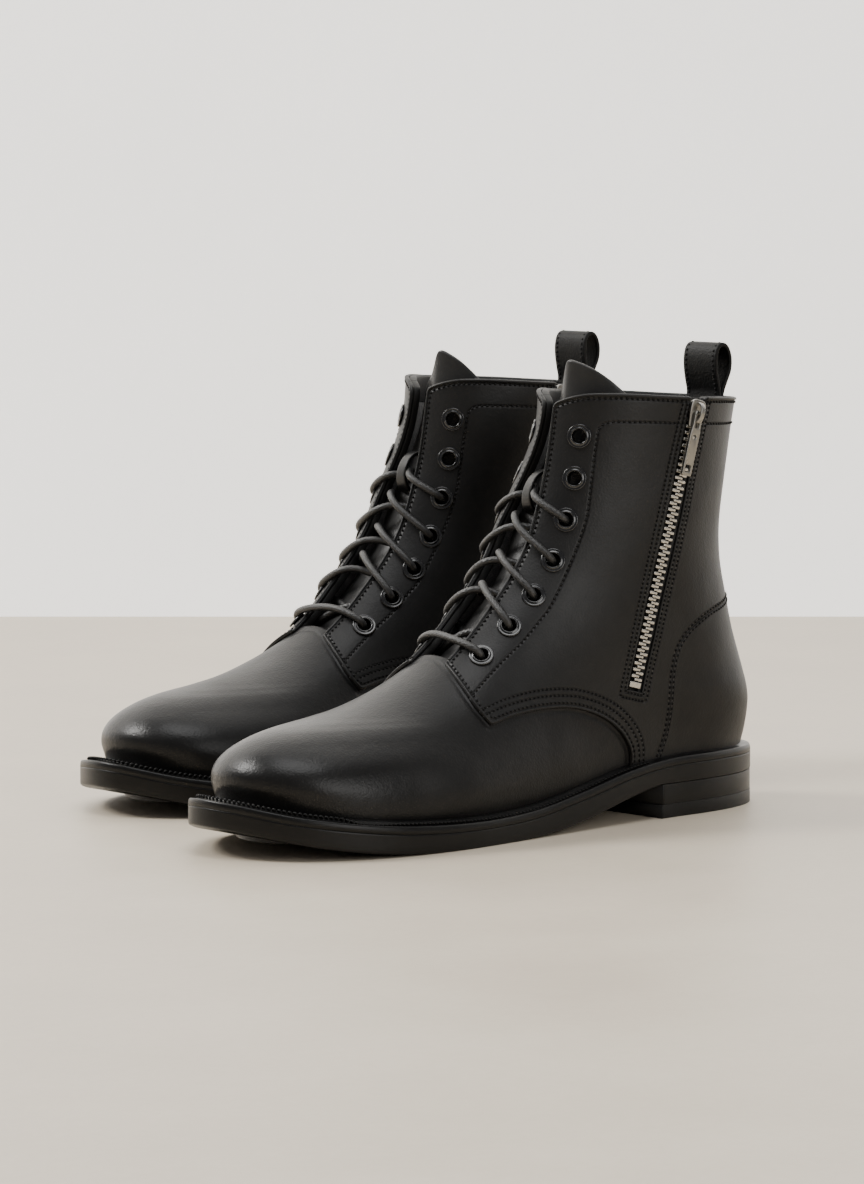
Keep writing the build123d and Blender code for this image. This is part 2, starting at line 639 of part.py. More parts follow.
# --------------------------------------------------------- parts that carry the zip
for boot_side, zs in (("left", 1), ("right", -1)):
    zx0, zz0, zx1, zz1 = 96.5, 59.7, 66.5, 184.0
    z_bot = np.array([zx0, zs * half_width(zx0, zz0, zs, 0.2), zz0])
    z_top = np.array([zx1, zs * half_width(zx1, zz1, zs, 0.2), zz1])
    z_len = float(np.linalg.norm(z_top - z_bot))
    z_dir = (z_top - z_bot) / z_len
    z_out = np.array([0, float(zs), 0]) - z_dir * (zs * z_dir[1])
    z_out = z_out / np.linalg.norm(z_out)
    z_acr = np.cross(z_dir, z_out)
    # the zip's own plane: x across, y up along the zip, z out of the boot
    zp = Plane(origin=v3(z_top), x_dir=v3(z_acr), z_dir=v3(z_out))
    up = 1 if zp.y_dir.dot(Vector(*v3(z_dir))) > 0 else -1
    print(boot_side, "zip top", v3(z_top), "dir", v3(z_dir), "out", v3(z_out), "across",
          v3(z_acr), "length", z_len, "up", up)

    with BuildPart() as slit:
        with BuildSketch(zp.offset(-9)):
            with Locations((0, up * (20 - z_len - 3) / 2)):
                Rectangle(2 * ZIP_SLIT_HALF, z_len + 3 + 20)
        extrude(amount=18)

    with BuildPart() as tape_band:
        with BuildSketch(zp.offset(-9)):
            with Locations((0, up * (20 - z_len - 6) / 2)):
                Rectangle(25, z_len + 6 + 20)
        extrude(amount=18)

    with BuildPart() as teeth_room:
        with BuildSketch(zp.offset(-3.2)):
            with Locations((0, up * (20 - z_len - 1) / 2)):
                Rectangle(6.5, z_len + 1 + 20)
        extrude(amount=18)

    quarters = {}
    for sd in (1, -1):
        with BuildPart() as quarter:
            add(BODY[T_SKIN])
            add(BODY[T_VAMP], mode=Mode.SUBTRACT)
            with BuildSketch(Plane.XZ):
                with BuildLine():
                    Polyline(*(SEAM + FRONT_CLEAR + COLLAR + COUNTER + along(78.8, 97.1)[1:-1]),
                             close=True)
                make_face()
            extrude(amount=-90 * sd, mode=Mode.INTERSECT)
            with Locations((127.5, 0, 145)):
                Box(135, 2 * THROAT_HALF, 170, mode=Mode.SUBTRACT)
            add(eyelet_holes.part, mode=Mode.SUBTRACT)
            add(pull_loop.part, mode=Mode.SUBTRACT)
            if sd == zs:
                add(slit.part, mode=Mode.SUBTRACT)
        quarters[sd] = quarter.part

    with BuildPart() as interlining:
        add(BODY[T_VAMP])
        add(BODY[T_BACK], mode=Mode.SUBTRACT)
        with BuildSketch(Plane.XZ):
            with BuildLine():
                Polyline(*(UNDER + FRONT_CLEAR + COLLAR + STIFF + along(62, 89.5)[1:-1]),
                         close=True)
            make_face()
        extrude(amount=90, both=True, mode=Mode.INTERSECT)
        with Locations((120, 0, 145)):
            Box(120, 2 * THROAT_HALF, 170, mode=Mode.SUBTRACT)
        with Locations((22, 0, 188)):
            Box(26, STRAP_W + 0.2, 40, mode=Mode.SUBTRACT)
        add(pull_loop.part, mode=Mode.SUBTRACT)
        add(eyelet_holes.part, mode=Mode.SUBTRACT)
        add(tape_band.part, mode=Mode.SUBTRACT)

    with BuildPart() as lining:
        add(BODY[T_LIN_OUT])
        add(BODY[T_LIN_IN], mode=Mode.SUBTRACT)
        with BuildSketch(Plane.XZ):
            with BuildLine():
                Polyline(*([(189, zt(189)), (189, 110), (150, 177)] + FACING_LOW[1:]
                           + along(-12, 189)[:-1]), close=True)
            make_face()
        extrude(amount=90, both=True, mode=Mode.INTERSECT)
        with Locations((127.5, 0, 145)):
            Box(135, 2 * THROAT_HALF, 170, mode=Mode.SUBTRACT)
        with Locations((190, 0, 75)):
            Box(24, 36.6, 40, mode=Mode.SUBTRACT)
        with Locations((22, 0, 188)):
            Box(26, STRAP_W + 0.2, 40, mode=Mode.SUBTRACT)
        add(eyelet_holes.part, mode=Mode.SUBTRACT)

    with BuildPart() as collar_facing:
        add(BODY[T_LIN_OUT])
        add(BODY[T_LIN_IN], mode=Mode.SUBTRACT)
        with BuildSketch(Plane.XZ):
            with BuildLine():
                Polyline(*(COLLAR[1:] + FACING_LOW[::-1][:-1] + [(128, 176.1)]), close=True)
            make_face()
        extrude(amount=90, both=True, mode=Mode.INTERSECT)
        with Locations((127.5, 0, 145)):
            Box(135, 2 * THROAT_HALF, 170, mode=Mode.SUBTRACT)
        with Locations((22, 0, 188)):
            Box(26, STRAP_W + 0.2, 40, mode=Mode.SUBTRACT)

    with BuildPart() as zip_tape:
        add(BODY[T_VAMP])
        add(BODY[T_TAPE], mode=Mode.SUBTRACT)
        add(tape_band.part, mode=Mode.INTERSECT)
        with BuildSketch(Plane.XZ):
            with BuildLine():
                Polyline(*([(140, 30), (140, 187.4)] + COLLAR[4:] + [(-12, 30)]), close=True)
            make_face()
        extrude(amount=-90 * zs, mode=Mode.INTERSECT)
        add(teeth_room.part, mode=Mode.SUBTRACT)

    with BuildPart() as zip_guard:
        add(BODY[T_TAPE])
        add(BODY[T_BACK], mode=Mode.SUBTRACT)
        add(tape_band.part, mode=Mode.INTERSECT)
        with BuildSketch(Plane.XZ):
            with BuildLine():
                Polyline(*([(140, 30), (140, 187.4)] + COLLAR[4:] + [(-12, 30)]), close=True)
            make_face()
        extrude(amount=-90 * zs, mode=Mode.INTERSECT)
        add(teeth_room.part, mode=Mode.SUBTRACT)

    # two rows of teeth in mesh, each on its beaded edge
    count = int((z_len - 3) / ZIP_PITCH)
    with BuildPart() as zip_teeth:
        for row in (1, -1):
            comb = [(row * 3.2, up * -0.6), (row * 3.2, up * -(z_len - 1.0))]
            y = z_len - 1.0
            comb.append((row * 1.5, up * -y))
            for i in range(count):
                c = z_len - 3.0 - i * ZIP_PITCH - (ZIP_PITCH / 2 if row < 0 else 0)
                if c < 2.2:
                    break
                comb += [(row * 1.5, up * -(c + 0.75)), (row * -0.9, up * -(c + 0.55)),
                         (row * -0.9, up * -(c - 0.55)), (row * 1.5, up * -(c - 0.75))]
            comb.append((row * 1.5, up * -0.6))
            with BuildSketch(zp.offset(-ZIP_TOOTH_T / 2)):
                with BuildLine():
                    Polyline(*comb, close=True)
                make_face()
            extrude(amount=ZIP_TOOTH_T)

    # slider: plate, two side lips inside the slit and a bridge for the puller
    with BuildPart() as zip_slider:
        with BuildSketch(zp.offset(1.6)):
            with BuildLine():
                Polyline((-4.2, up * -0.5), (4.2, up * -0.5), (4.2, up * -6), (3.5, up * -12.6),
                         (-3.5, up * -12.6), (-4.2, up * -6), close=True)
            make_face()
        extrude(amount=1.1)
        for row in (1, -1):
            with BuildSketch(zp.offset(0.75)):
                with Locations((row * 3.85, up * -3.6)):
                    Rectangle(0.6, 5.2)
            extrude(amount=0.9)
        with BuildSketch(zp.offset(2.6)):
            with Locations((0, up * -6.0)):
                Rectangle(2.2, 8.4)
        extrude(amount=3.1)
        with BuildSketch(zp.offset(2.7)):
            with Locations((0, up * -6.0)):
                Rectangle(2.4, 4.8)
        extrude(amount=2.0, mode=Mode.SUBTRACT)

    # puller: cross pin through the bridge, two arms and a flat tab with two holes
    hinge = z_top - z_dir * 6.0 + z_out * 3.7
    with BuildPart() as zip_puller:
        with BuildSketch(zp.offset(3.1)):
            with BuildLine():
                Polyline((-2.75, up * -5.2), (-2.75, up * -34), (2.75, up * -34),
                         (2.75, up * -5.2), (1.5, up * -5.2), (1.5, up * -13.4),
                         (-1.5, up * -13.4), (-1.5, up * -5.2), close=True)
            make_face()
            with Locations((0, up * -30.6)):
                Rectangle(3.0, 3.2, mode=Mode.SUBTRACT)
            with Locations((0, up * -16.4)):
                Circle(0.9, mode=Mode.SUBTRACT)
        extrude(amount=1.2)
        with BuildSketch(Plane(origin=v3(hinge - z_acr * 2.4), z_dir=v3(z_acr))):
            Circle(0.62)
        extrude(amount=4.8)
    print(boot_side, "hinge", v3(hinge), "axis", v3(z_acr))

    for name, piece in (
            ("outsole", outsole.part), ("heel_block", heel_block.part),
            ("heel_top_lift", heel_top_lift.part), ("welt", welt.part),
            ("welt_stitching", welt_stitching.part), ("cork_filler", cork_filler.part),
            ("shank", shank.part), ("insole", insole.part), ("footbed", footbed.part),
            ("vamp", vamp.part), ("toe_puff", toe_puff.part), ("vamp_lining", vamp_lining.part),
            ("quarter_lateral", quarters[1]), ("quarter_medial", quarters[-1]),
            ("counter_panel", counter_panel.part), ("heel_stiffener", heel_stiffener.part),
            ("interlining", interlining.part), ("lining", lining.part),
            ("collar_facing", collar_facing.part), ("backstay", backstay.part),
            ("pull_loop", pull_loop.part), ("tongue", tongue_whole.part),
            ("lace_keeper", lace_keeper.part), ("eyelets", eyelets.part), ("lace", lace.part),
            ("zip_tape", zip_tape.part), ("zip_guard", zip_guard.part),
            ("zip_teeth", zip_teeth.part), ("zip_slider", zip_slider.part),
            ("zip_puller", zip_puller.part)):
        save(piece, boot_side, name)
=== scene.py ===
import bpy
import math
import numpy as np
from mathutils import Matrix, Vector


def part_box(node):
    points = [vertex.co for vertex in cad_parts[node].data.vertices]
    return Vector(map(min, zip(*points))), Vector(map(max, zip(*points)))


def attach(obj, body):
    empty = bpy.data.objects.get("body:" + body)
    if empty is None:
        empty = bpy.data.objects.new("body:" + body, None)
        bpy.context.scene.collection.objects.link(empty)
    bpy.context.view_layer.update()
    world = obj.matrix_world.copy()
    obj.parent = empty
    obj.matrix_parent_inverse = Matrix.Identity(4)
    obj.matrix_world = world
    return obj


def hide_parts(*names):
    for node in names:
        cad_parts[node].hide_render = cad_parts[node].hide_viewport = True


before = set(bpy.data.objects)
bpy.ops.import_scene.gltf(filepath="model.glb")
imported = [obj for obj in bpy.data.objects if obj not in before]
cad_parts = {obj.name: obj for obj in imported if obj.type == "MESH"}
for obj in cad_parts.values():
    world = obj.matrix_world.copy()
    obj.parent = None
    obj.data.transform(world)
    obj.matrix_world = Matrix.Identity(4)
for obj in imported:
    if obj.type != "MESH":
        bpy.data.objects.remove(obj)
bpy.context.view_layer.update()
RNG = np.random.default_rng(7)

# ------------------------------------------------------------------ camera
scene = bpy.context.scene
cam_data = bpy.data.cameras.new("camera")
cam = bpy.data.objects.new("camera", cam_data)
scene.collection.objects.link(cam)
PSI, PHI = 0.709, 0.092
cam.location = (1.4063, 1.6481, 0.2956)
look = Vector((-math.sin(PSI) * math.cos(PHI), -math.cos(PSI) * math.cos(PHI), -math.sin(PHI)))
cam.rotation_euler = look.to_track_quat("-Z", "Y").to_euler()
cam_data.lens = 148.35
cam_data.sensor_width = 36.0
cam_data.sensor_fit = "AUTO"
cam_data.clip_end = 50
scene.camera = cam

# ------------------------------------------------------- shape of the upper (mm)
FRONT = [(291.5, 5), (291.5, 14), (291.8, 24), (292.6, 29), (291.6, 35), (287, 41),
         (279.5, 45.8), (269, 49.4), (255, 51.6), (240, 53.6), (224, 56.8), (208, 61.6),
         (194.5, 67.2), (183, 73.8), (171.5, 83), (160, 94.6), (148.5, 107), (139, 120.5),
         (132.5, 136), (127.5, 153), (124, 171), (122, 186), (121, 194), (120.4, 207)]
BACK = [(7.5, 5), (7.5, 18), (7.4, 26.5), (6.8, 32), (6.8, 38), (7.2, 44), (8.2, 51),
        (10, 58), (12.6, 66), (16, 75), (19.6, 85), (22.6, 96), (25, 108), (26, 121),
        (25.3, 134), (23.5, 148), (21.3, 162), (19, 175), (17.5, 184), (16.6, 194), (16, 207)]
PAIRS = [((291.5, 5), (7.5, 5)), ((291.5, 12), (7.5, 12)), ((291.6, 35), (6.8, 36)),
         ((279.5, 45.8), (7.7, 48)), ((255, 51.6), (10, 57)), ((224, 56.8), (13.5, 68)),
         ((183, 73.8), (19.6, 85)), ((148.5, 107), (25, 108)), ((132.5, 136), (25.3, 134)),
         ((124, 171), (19.6, 171)), ((120.4, 207), (16, 207))]
KEYS = [0, .06, .16, .26, .36, .46, .58, .70, .82, .92, 1]
FOOT_X = [0, 30, 55, 80, 110, 140, 170, 200, 225, 245, 265, 300]
FOOT_LAT = [29.5, 30, 31, 33, 36, 40, 44, 47.4, 48.3, 46.8, 44.8, 42.5]
FOOT_MED = [29, 29.5, 30.3, 31, 31, 33.3, 38, 44, 47, 46.8, 44.8, 42.5]
SHAFT_Z = [0, 60, 90, 122, 150, 184, 200]
SHAFT_LAT = [36, 36.2, 38, 40.2, 42.2, 44.4, 45.4]
SHAFT_MED = [34.5, 34.5, 35.5, 37.5, 40, 43, 44]
WELT_X = [0, 40, 75, 100, 130, 160, 185, 210, 240, 265, 285, 305]
WELT_Z = [26, 26.6, 26, 23.1, 17.2, 12.4, 11.0, 11.2, 12.8, 15.6, 19.0, 24.6]
OUTLINE = [(0, 0), (2.5, 10.5), (10, 20.5), (24, 29), (45, 34.5), (75, 37), (110, 41),
           (145, 45), (175, 49), (200, 52.3), (222, 53.5), (245, 51.6), (265, 46),
           (282, 36.5), (295, 24), (303, 9), (305, -3), (302.5, -14), (292.5, -26),
           (280, -36.5), (265, -46), (245, -51), (222, -52), (200, -48.5), (175, -42),
           (145, -37), (110, -34.5), (75, -35.5), (45, -33.5), (24, -28.5), (10, -20.5),
           (2.5, -10.5)]
TREAD = [(80, 15), (100, 11.5), (115, 8.0), (130, 4.6), (143, 2.3), (155, 1), (175, 0),
         (205, 0), (218, 0.2), (230, 0.6), (243, 1.3), (255, 2.4), (268, 4.2), (280, 6.4),
         (292, 9.6), (306, 13.6)]
SEAM = [(97.0, -10), (97.1, 14), (97.3, 24), (97.8, 30.2), (101.9, 37), (108.6, 43.1), (118.8, 48.5),
        (131.2, 52.2), (143.5, 53.4), (156.1, 53.1), (169, 51.6), (181.6, 48.9)]
SEAM_UP = [(181.6, 48.9), (185.2, 56), (185.6, 64), (184.2, 70), (180.9, 76.1), (178.5, 82), (177.5, 96)]
COLLAR = [(200, 120), (150, 150), (128, 166.5), (124.0, 173), (123.4, 177), (121.6, 181.6), (118.6, 185),
          (114, 187), (108, 187.4), (98, 187.1), (78, 185.8), (40, 184), (17, 182.6), (-40, 181.6)]
COUNTER = [(-40, 97), (25, 94.5), (39.9, 91.8), (52.2, 89.1), (61.1, 85.2), (67.1, 80.8),
           (71.9, 74.7), (73.9, 67.5), (74.9, 58.2), (74.9, 48.9), (75.6, 39.6),
           (77, 33.1), (79.6, 26), (84, 5)]
INNER = [(-40, 171.0), (40, 172.2), (78, 174), (97.8, 174.8), (108.2, 174.5), (110.6, 172.2), (111.3, 168.0), (112.5, 160.9),
         (114.8, 146.8), (117.2, 134.8), (120.3, 125.8), (124.4, 116.9), (128.3, 109.8),
         (138.4, 95.3), (145.1, 89.2), (152.8, 82.4), (162.2, 75.7), (175, 66.8), (190, 57)]
EYELET_XZ = [(117.5, 168.8), (120.4, 150.7), (125.2, 132.9), (132.4, 115.7),
             (143.2, 101.2), (156.7, 88.8), (171.7, 77.0)]
THROAT = 10.5
ZIP_LOW, ZIP_HIGH = (96.5, 59.7), (66.5, 184.0)


def curve(points, n=24):
    p = np.asarray(points, float)
    q = np.vstack([2 * p[0] - p[1], p, 2 * p[-1] - p[-2]])
    out = []
    for i in range(1, len(q) - 2):
        a, b, c, d = q[i - 1:i + 3]
        t = np.linspace(0, 1, n, endpoint=False)[:, None]
        u, v, w = [math.sqrt(max(np.linalg.norm(k), 1e-9)) for k in (b - a, c - b, d - c)]
        m1 = (c - b) + v * ((b - a) / u - (c - a) / (u + v))
        m2 = (c - b) + v * ((d - c) / w - (d - b) / (v + w))
        out.append((2 * t**3 - 3 * t**2 + 1) * b + (t**3 - 2 * t**2 + t) * m1
                   + (-2 * t**3 + 3 * t**2) * c + (t**3 - t**2) * m2)
    out.append(p[-1:])
    return np.vstack(out)


def table(x, xs, ys):
    c = curve(np.c_[xs, ys])
    return np.interp(x, c[:, 0], c[:, 1])


FC, BC = curve(FRONT, 12), curve(BACK, 12)


def sdist(P, C, sign=1.0):
    """Signed distance of points (n,2) to a polyline; positive on its left times sign."""
    P = np.atleast_2d(P)
    a, b = C[:-1], C[1:]
    ab = b - a
    L = (ab**2).sum(1) + 1e-12
    out = np.empty(len(P))
    for i in range(0, len(P), 6000):
        p = P[i:i + 6000]
        t = np.clip(((p[:, None] - a) * ab).sum(-1) / L, 0, 1)
        r = p[:, None] - (a + t[..., None] * ab)
        d = (r**2).sum(-1)
        k = d.argmin(1)
        rr = p - a[k]
        cr = ab[k, 0] * rr[:, 1] - ab[k, 1] * rr[:, 0]
        out[i:i + 6000] = np.sqrt(d[np.arange(len(p)), k]) * np.where(cr > 0, 1, -1) * sign
    return out


def cap(t, p):
    t = np.clip(t, 0, 1)
    return (1 - (1 - t)**p)**(1 / p)


def smooth01(x):
    x = np.clip(x, 0, 1)
    return x * x * (3 - 2 * x)


def ztop(x):
    return table(x, WELT_X, WELT_Z)


def width(P, side, t=0.0):
    x, z = P[:, 0], P[:, 1]
    side = np.broadcast_to(side, x.shape)
    foot = np.where(side > 0, table(x, FOOT_X, FOOT_LAT), table(x, FOOT_X, FOOT_MED))
    shaft = np.where(side > 0, table(z, SHAFT_Z, SHAFT_LAT), table(z, SHAFT_Z, SHAFT_MED))
    w = smooth01((z - 26) / 32) * smooth01((190 - x) / 80)
    W = foot * (1 - w) + shaft * w
    W = W + 1.6 * np.exp(-((z - ztop(x) - 16) / 14)**2) * np.clip((x - 150) / 60, 0, 1)
    W = W + 1.8 * np.exp(-((z - 46) / 15)**2) * np.clip((70 - x) / 40, 0, 1)
    lf = table(x, [0, 60, 110, 150, 190, 230, 262, 285, 305], [58, 58, 59, 56, 48, 43, 46, 56, 60])
    lb = table(z, [0, 30, 50, 90, 130, 200], [44, 44, 42, 47, 57, 64])
    df, db = sdist(P, FC, 1.0) - t, sdist(P, BC, -1.0) - t
    return (W - t) * cap(df / (lf - t), 2.1) * cap(db / (lb - t), 2.15)


def arclen(C):
    return np.r_[0, np.cumsum(np.sqrt((np.diff(C, axis=0)**2).sum(1)))]


def arc_frac(c, p):
    d = arclen(c)
    return d[int(np.argmin(((c - np.array(p))**2).sum(1)))] / d[-1]


def arc_point(c, f):
    d = arclen(c)
    d = d / d[-1]
    return np.stack([np.interp(f, d, c[:, k]) for k in range(c.shape[1])], -1)


def unit(v):
    return v / np.maximum(np.linalg.norm(v, axis=-1, keepdims=True), 1e-12)


NV, NH = ((250, 230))
V = np.linspace(0, 1, NV)
FP = arc_point(FC, np.clip(table(V, KEYS, [arc_frac(FC, a) for a, b in PAIRS]), 0, 1))
BP = arc_point(BC, np.clip(table(V, KEYS, [arc_frac(BC, b) for a, b in PAIRS]), 0, 1))
# columns: lateral side from the back to the front, then medial back to the back
TAU = np.r_[np.linspace(0, 1, NH), np.linspace(1, 0, NH)[1:-1]]
SIDE = np.r_[np.ones(NH), -np.ones(NH - 2)]
NT = len(TAU)
U = (1 - np.cos(math.pi * TAU)) / 2
XZ = BP[:, None] + (FP - BP)[:, None] * U[None, :, None]
WID = width(XZ.reshape(-1, 2), np.tile(SIDE, NV)).reshape(NV, NT)
BASE = np.stack([XZ[..., 0], WID * SIDE[None], XZ[..., 1]], -1)


def diffuse(A, nv, nt):
    """Evens a field out over the grid, along its rows and its columns."""
    A = A.copy()
    for i in range(max(nv, nt)):
        if i < nv:
            B = A.copy()
            B[1:-1] = (A[:-2] + 2 * A[1:-1] + A[2:]) / 4
            A = B
        if i < nt:
            A = (np.roll(A, 1, 1) + 2 * A + np.roll(A, -1, 1)) / 4
    return A


def grid_normals(G):
    dt = np.roll(G, -1, 1) - np.roll(G, 1, 1)
    dv = np.gradient(G, axis=0)
    n = np.cross(dt, dv)
    n = unit(n)
    c = G - np.array([150.0, 0, 40.0])
    return n


_kv, _kt = (NV / 150)**2, (NH / 130)**2
_w = smooth01((BASE[..., 0] - 196) / 34)
BASE[..., 1] += (diffuse(BASE[..., 1], int(120 * _kv), int(40 * _kt)) - BASE[..., 1]) * _w
NRM = grid_normals(BASE)
if NRM[NV // 2, NH // 2, 1] < 0:
    NRM = -NRM
# the upper turns in where it's drawn down on to the welt
_h = unit(NRM * np.array([1.0, 1.0, 0.0]))
_u = np.clip((BASE[..., 2] - ztop(BASE[..., 0].ravel()).reshape(NV, NT)) / 15.0, 0, 1)
_w = 0.25 + 0.75 * smooth01((BASE[..., 0] - 110) / 70)
BASE = BASE - _h * (2.9 * _w * (1 - _u)**2)[..., None]
NRM = grid_normals(BASE)
if NRM[NV // 2, NH // 2, 1] < 0:
    NRM = -NRM


def lowfreq(P, scale, seed):
    """Smooth random field from a sum of plane waves."""
    r = np.random.default_rng(seed)
    out = np.zeros(P.shape[:-1])
    for k in range(9):
        d = r.normal(size=3)
        d /= np.linalg.norm(d)
        s = scale * r.uniform(0.6, 1.6)
        out += np.sin(P @ d * (2 * math.pi / s) + r.uniform(0, 6.28))
    return out / 3.0


def wrinkle(P, c, d, half, depth, width_mm):
    """A soft crease along direction d through c."""
    d = np.array(d, float)
    d /= np.linalg.norm(d)
    r = P - np.array(c, float)
    a = r @ d
    q = np.linalg.norm(r - a[..., None] * d, axis=-1)
    return -depth * np.exp(-(q / width_mm)**2) * np.exp(-(a / half)**4)


def leather_shape(seed):
    """Hand-lasted leather isn't a perfect surface: soft hollows."""
    P = BASE
    D = 0.28 * lowfreq(P, 60, seed) + 0.10 * lowfreq(P, 22, seed + 1)
    return D * smooth01((P[..., 2] - ztop(P[..., 0].ravel()).reshape(P.shape[:2]) - 2) / 20)


# --------------------------------------------------------- fields on the surface
X, Y, Z = BASE[..., 0], BASE[..., 1], BASE[..., 2]
XZF = np.stack([X, Z], -1).reshape(-1, 2)
DV = np.gradient(BASE, axis=0)
DT = (np.roll(BASE, -1, 1) - np.roll(BASE, 1, 1)) / 2
GE, GF, GG = (DV**2).sum(-1), (DV * DT).sum(-1), (DT**2).sum(-1)
GDET = np.maximum(GE * GG - GF**2, 1e-9)


def surf_grad(f):
    fv = np.gradient(f, axis=0)
    ft = (np.roll(f, -1, 1) - np.roll(f, 1, 1)) / 2
    a = (GG * fv - GF * ft) / GDET
    b = (GE * ft - GF * fv) / GDET
    return DV * a[..., None] + DT * b[..., None]


def norm_field(f, lo=0.35):
    g = np.linalg.norm(surf_grad(f), axis=-1)
    return f / np.maximum(g, lo)


def side_field(points, sign, n=16):
    return norm_field(sdist(XZF, curve(points, n), sign).reshape(NV, NT))


ZT = ztop(X.ravel()).reshape(NV, NT)
F_BOT = norm_field(Z - (ZT - 1.2))
F_TOP = side_field(COLLAR, 1.0)
F_SEAM_A = sdist(XZF, curve(SEAM, 16), 1.0).reshape(NV, NT)
F_SEAM_B = sdist(XZF, curve(SEAM_UP, 16), 1.0).reshape(NV, NT)


def seam_field():
    """Positive behind and above the quarter's lower front edge, with a sharp corner."""
    a = norm_field(F_SEAM_A)
    b = norm_field(F_SEAM_B)
    return np.minimum(a, b)


F_SEAM = seam_field()
front_half = U[None, :] + 0 * X > 0.42
F_THROAT = np.where(front_half, norm_field(np.abs(Y) - THROAT, 0.25), 50.0)
F_COUNTER = side_field(COUNTER, 1.0)
F_INNER = side_field(INNER, -1.0)


def skin_normal_at(x, z, side, t=-1.4):
    e = 0.8
    p = np.array([[x + e, z], [x - e, z], [x, z + e], [x, z - e]], float)
    w = width(p, side, t)
    n = np.array([-(w[0] - w[1]) / (2 * e), side, -(w[2] - w[3]) / (2 * e)])
    return n / np.linalg.norm(n)


def eyelet(k, side):
    x, z = EYELET_XZ[k - 1]
    y = width(np.array([[x, z]]), 1, -1.4)[0]
    if side < 0:
        lo, hi = x - 8, x + 8
        for _ in range(30):
            m = (lo + hi) / 2
            if width(np.array([[m, z]]), -1, -1.4)[0] > y:
                lo = m
            else:
                hi = m
        x = (lo + hi) / 2
    return np.array([x, y * side, z]), skin_normal_at(x, z, side)


EYE = {(k, s): eyelet(k, s) for k in range(1, 8) for s in (1, -1)}
F_HOLES = np.full((NV, NT), 99.0)
for (k, s), (c, n) in EYE.items():
    r = BASE - c
    a = (r * n).sum(-1)
    q = np.linalg.norm(r - a[..., None] * n, axis=-1)
    F_HOLES = np.minimum(F_HOLES, np.where(np.abs(a) < 12, q - 3.7, 99.0))


def zip_frame(zs):
    lo = np.array([ZIP_LOW[0], zs * width(np.array([ZIP_LOW]), zs, 0.2)[0], ZIP_LOW[1]])
    hi = np.array([ZIP_HIGH[0], zs * width(np.array([ZIP_HIGH]), zs, 0.2)[0], ZIP_HIGH[1]])
    L = np.linalg.norm(hi - lo)
    d = (hi - lo) / L
    out = np.array([0, float(zs), 0]) - d * (zs * d[1])
    out /= np.linalg.norm(out)
    acr = np.cross(d, out)
    return dict(lo=lo, hi=hi, L=L, d=d, out=out, acr=acr)


def zip_coords(P, z):
    r = P - z["hi"]
    return r @ z["acr"], r @ z["d"], r @ z["out"]


# ------------------------------------------------------------------- mesh makers
def volume(verts, faces):
    """Six times the signed volume, to face every shell outwards."""
    tot = 0.0
    c = verts.mean(0)
    for k in {len(f) for f in faces}:
        a = verts[np.array([f for f in faces if len(f) == k])] - c
        for j in range(1, k - 1):
            tot += np.einsum("ij,ij->i", a[:, 0], np.cross(a[:, j], a[:, j + 1])).sum()
    return tot


class Part:
    """Vertices (mm, boot frame) and faces of one piece."""

    def __init__(self):
        self.v, self.f, self.n = [], [], 0
        self.attrs = []

    def add(self, verts, faces, attrs=None):
        verts = np.asarray(verts, float).reshape(-1, 3)
        faces = faces.tolist() if isinstance(faces, np.ndarray) else [list(f) for f in faces]
        if volume(verts, faces) < 0:
            faces = [f[::-1] for f in faces]
        n = self.n
        self.f.extend([[i + n for i in f] for f in faces])
        self.v.append(verts)
        self.attrs.append((len(verts), attrs or {}))
        self.n += len(verts)


def relax(P, boot):
    """Unlaced above the third eyelet, the facing on the far side of the throat leans in and back."""
    s = 1.0 if boot == "left" else -1.0
    dx, dy = (-7.0, 10.0) if boot == "left" else (-3.5, 8.5)
    y = P[:, 1] * s
    w = smooth01((P[:, 2] - 118) / 60) * smooth01((P[:, 0] - 62) / 50) * smooth01((15 - y) / 30)
    Q = P.copy()
    Q[:, 0] += dx * w
    Q[:, 1] += dy * w * s
    return Q


def place(P, boot):
    P = relax(np.asarray(P, float), boot)
    if boot == "left":
        return (P + np.array([-131.5, 66.5, 0])) / 1000
    return (P * np.array([1, -1, 1]) + np.array([-173.5, -66.5, 0])) / 1000


def build(name, part, boot, mat, body=None, replaces=(), smooth=True):
    V3 = place(np.vstack(part.v), boot)
    faces = part.f
    if boot == "right":
        faces = [f[::-1] for f in faces]
    me = bpy.data.meshes.new(f"{boot}_{name}_looks")
    tot = np.array([len(f) for f in faces], np.int32)
    loops = np.fromiter((i for f in faces for i in f), np.int32, int(tot.sum()))
    me.vertices.add(len(V3))
    me.vertices.foreach_set("co", V3.astype(np.float32).ravel())
    me.loops.add(len(loops))
    me.loops.foreach_set("vertex_index", loops)
    me.polygons.add(len(tot))
    me.polygons.foreach_set("loop_start", np.r_[0, np.cumsum(tot)[:-1]].astype(np.int32))
    me.polygons.foreach_set("loop_total", tot)
    me.update(calc_edges=True)
    me.validate()
    if smooth:
        me.polygons.foreach_set("use_smooth", np.ones(len(me.polygons), bool))
    for key in sorted({k for n, d in part.attrs for k in d}):
        at = me.attributes.new(key, "FLOAT", "POINT")
        vals = np.concatenate([np.broadcast_to(np.asarray(d.get(key, 99.0), float), (n,)) for n, d in part.attrs])
        at.data.foreach_set("value", vals.astype(np.float32))
    ob = bpy.data.objects.new(f"{boot}_{name}_looks", me)
    scene.collection.objects.link(ob)
    me.materials.append(mat)
    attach(ob, body or f"{boot}_boot")
    if replaces:
        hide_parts(*[f"{boot}_{r}" for r in replaces])
    return ob


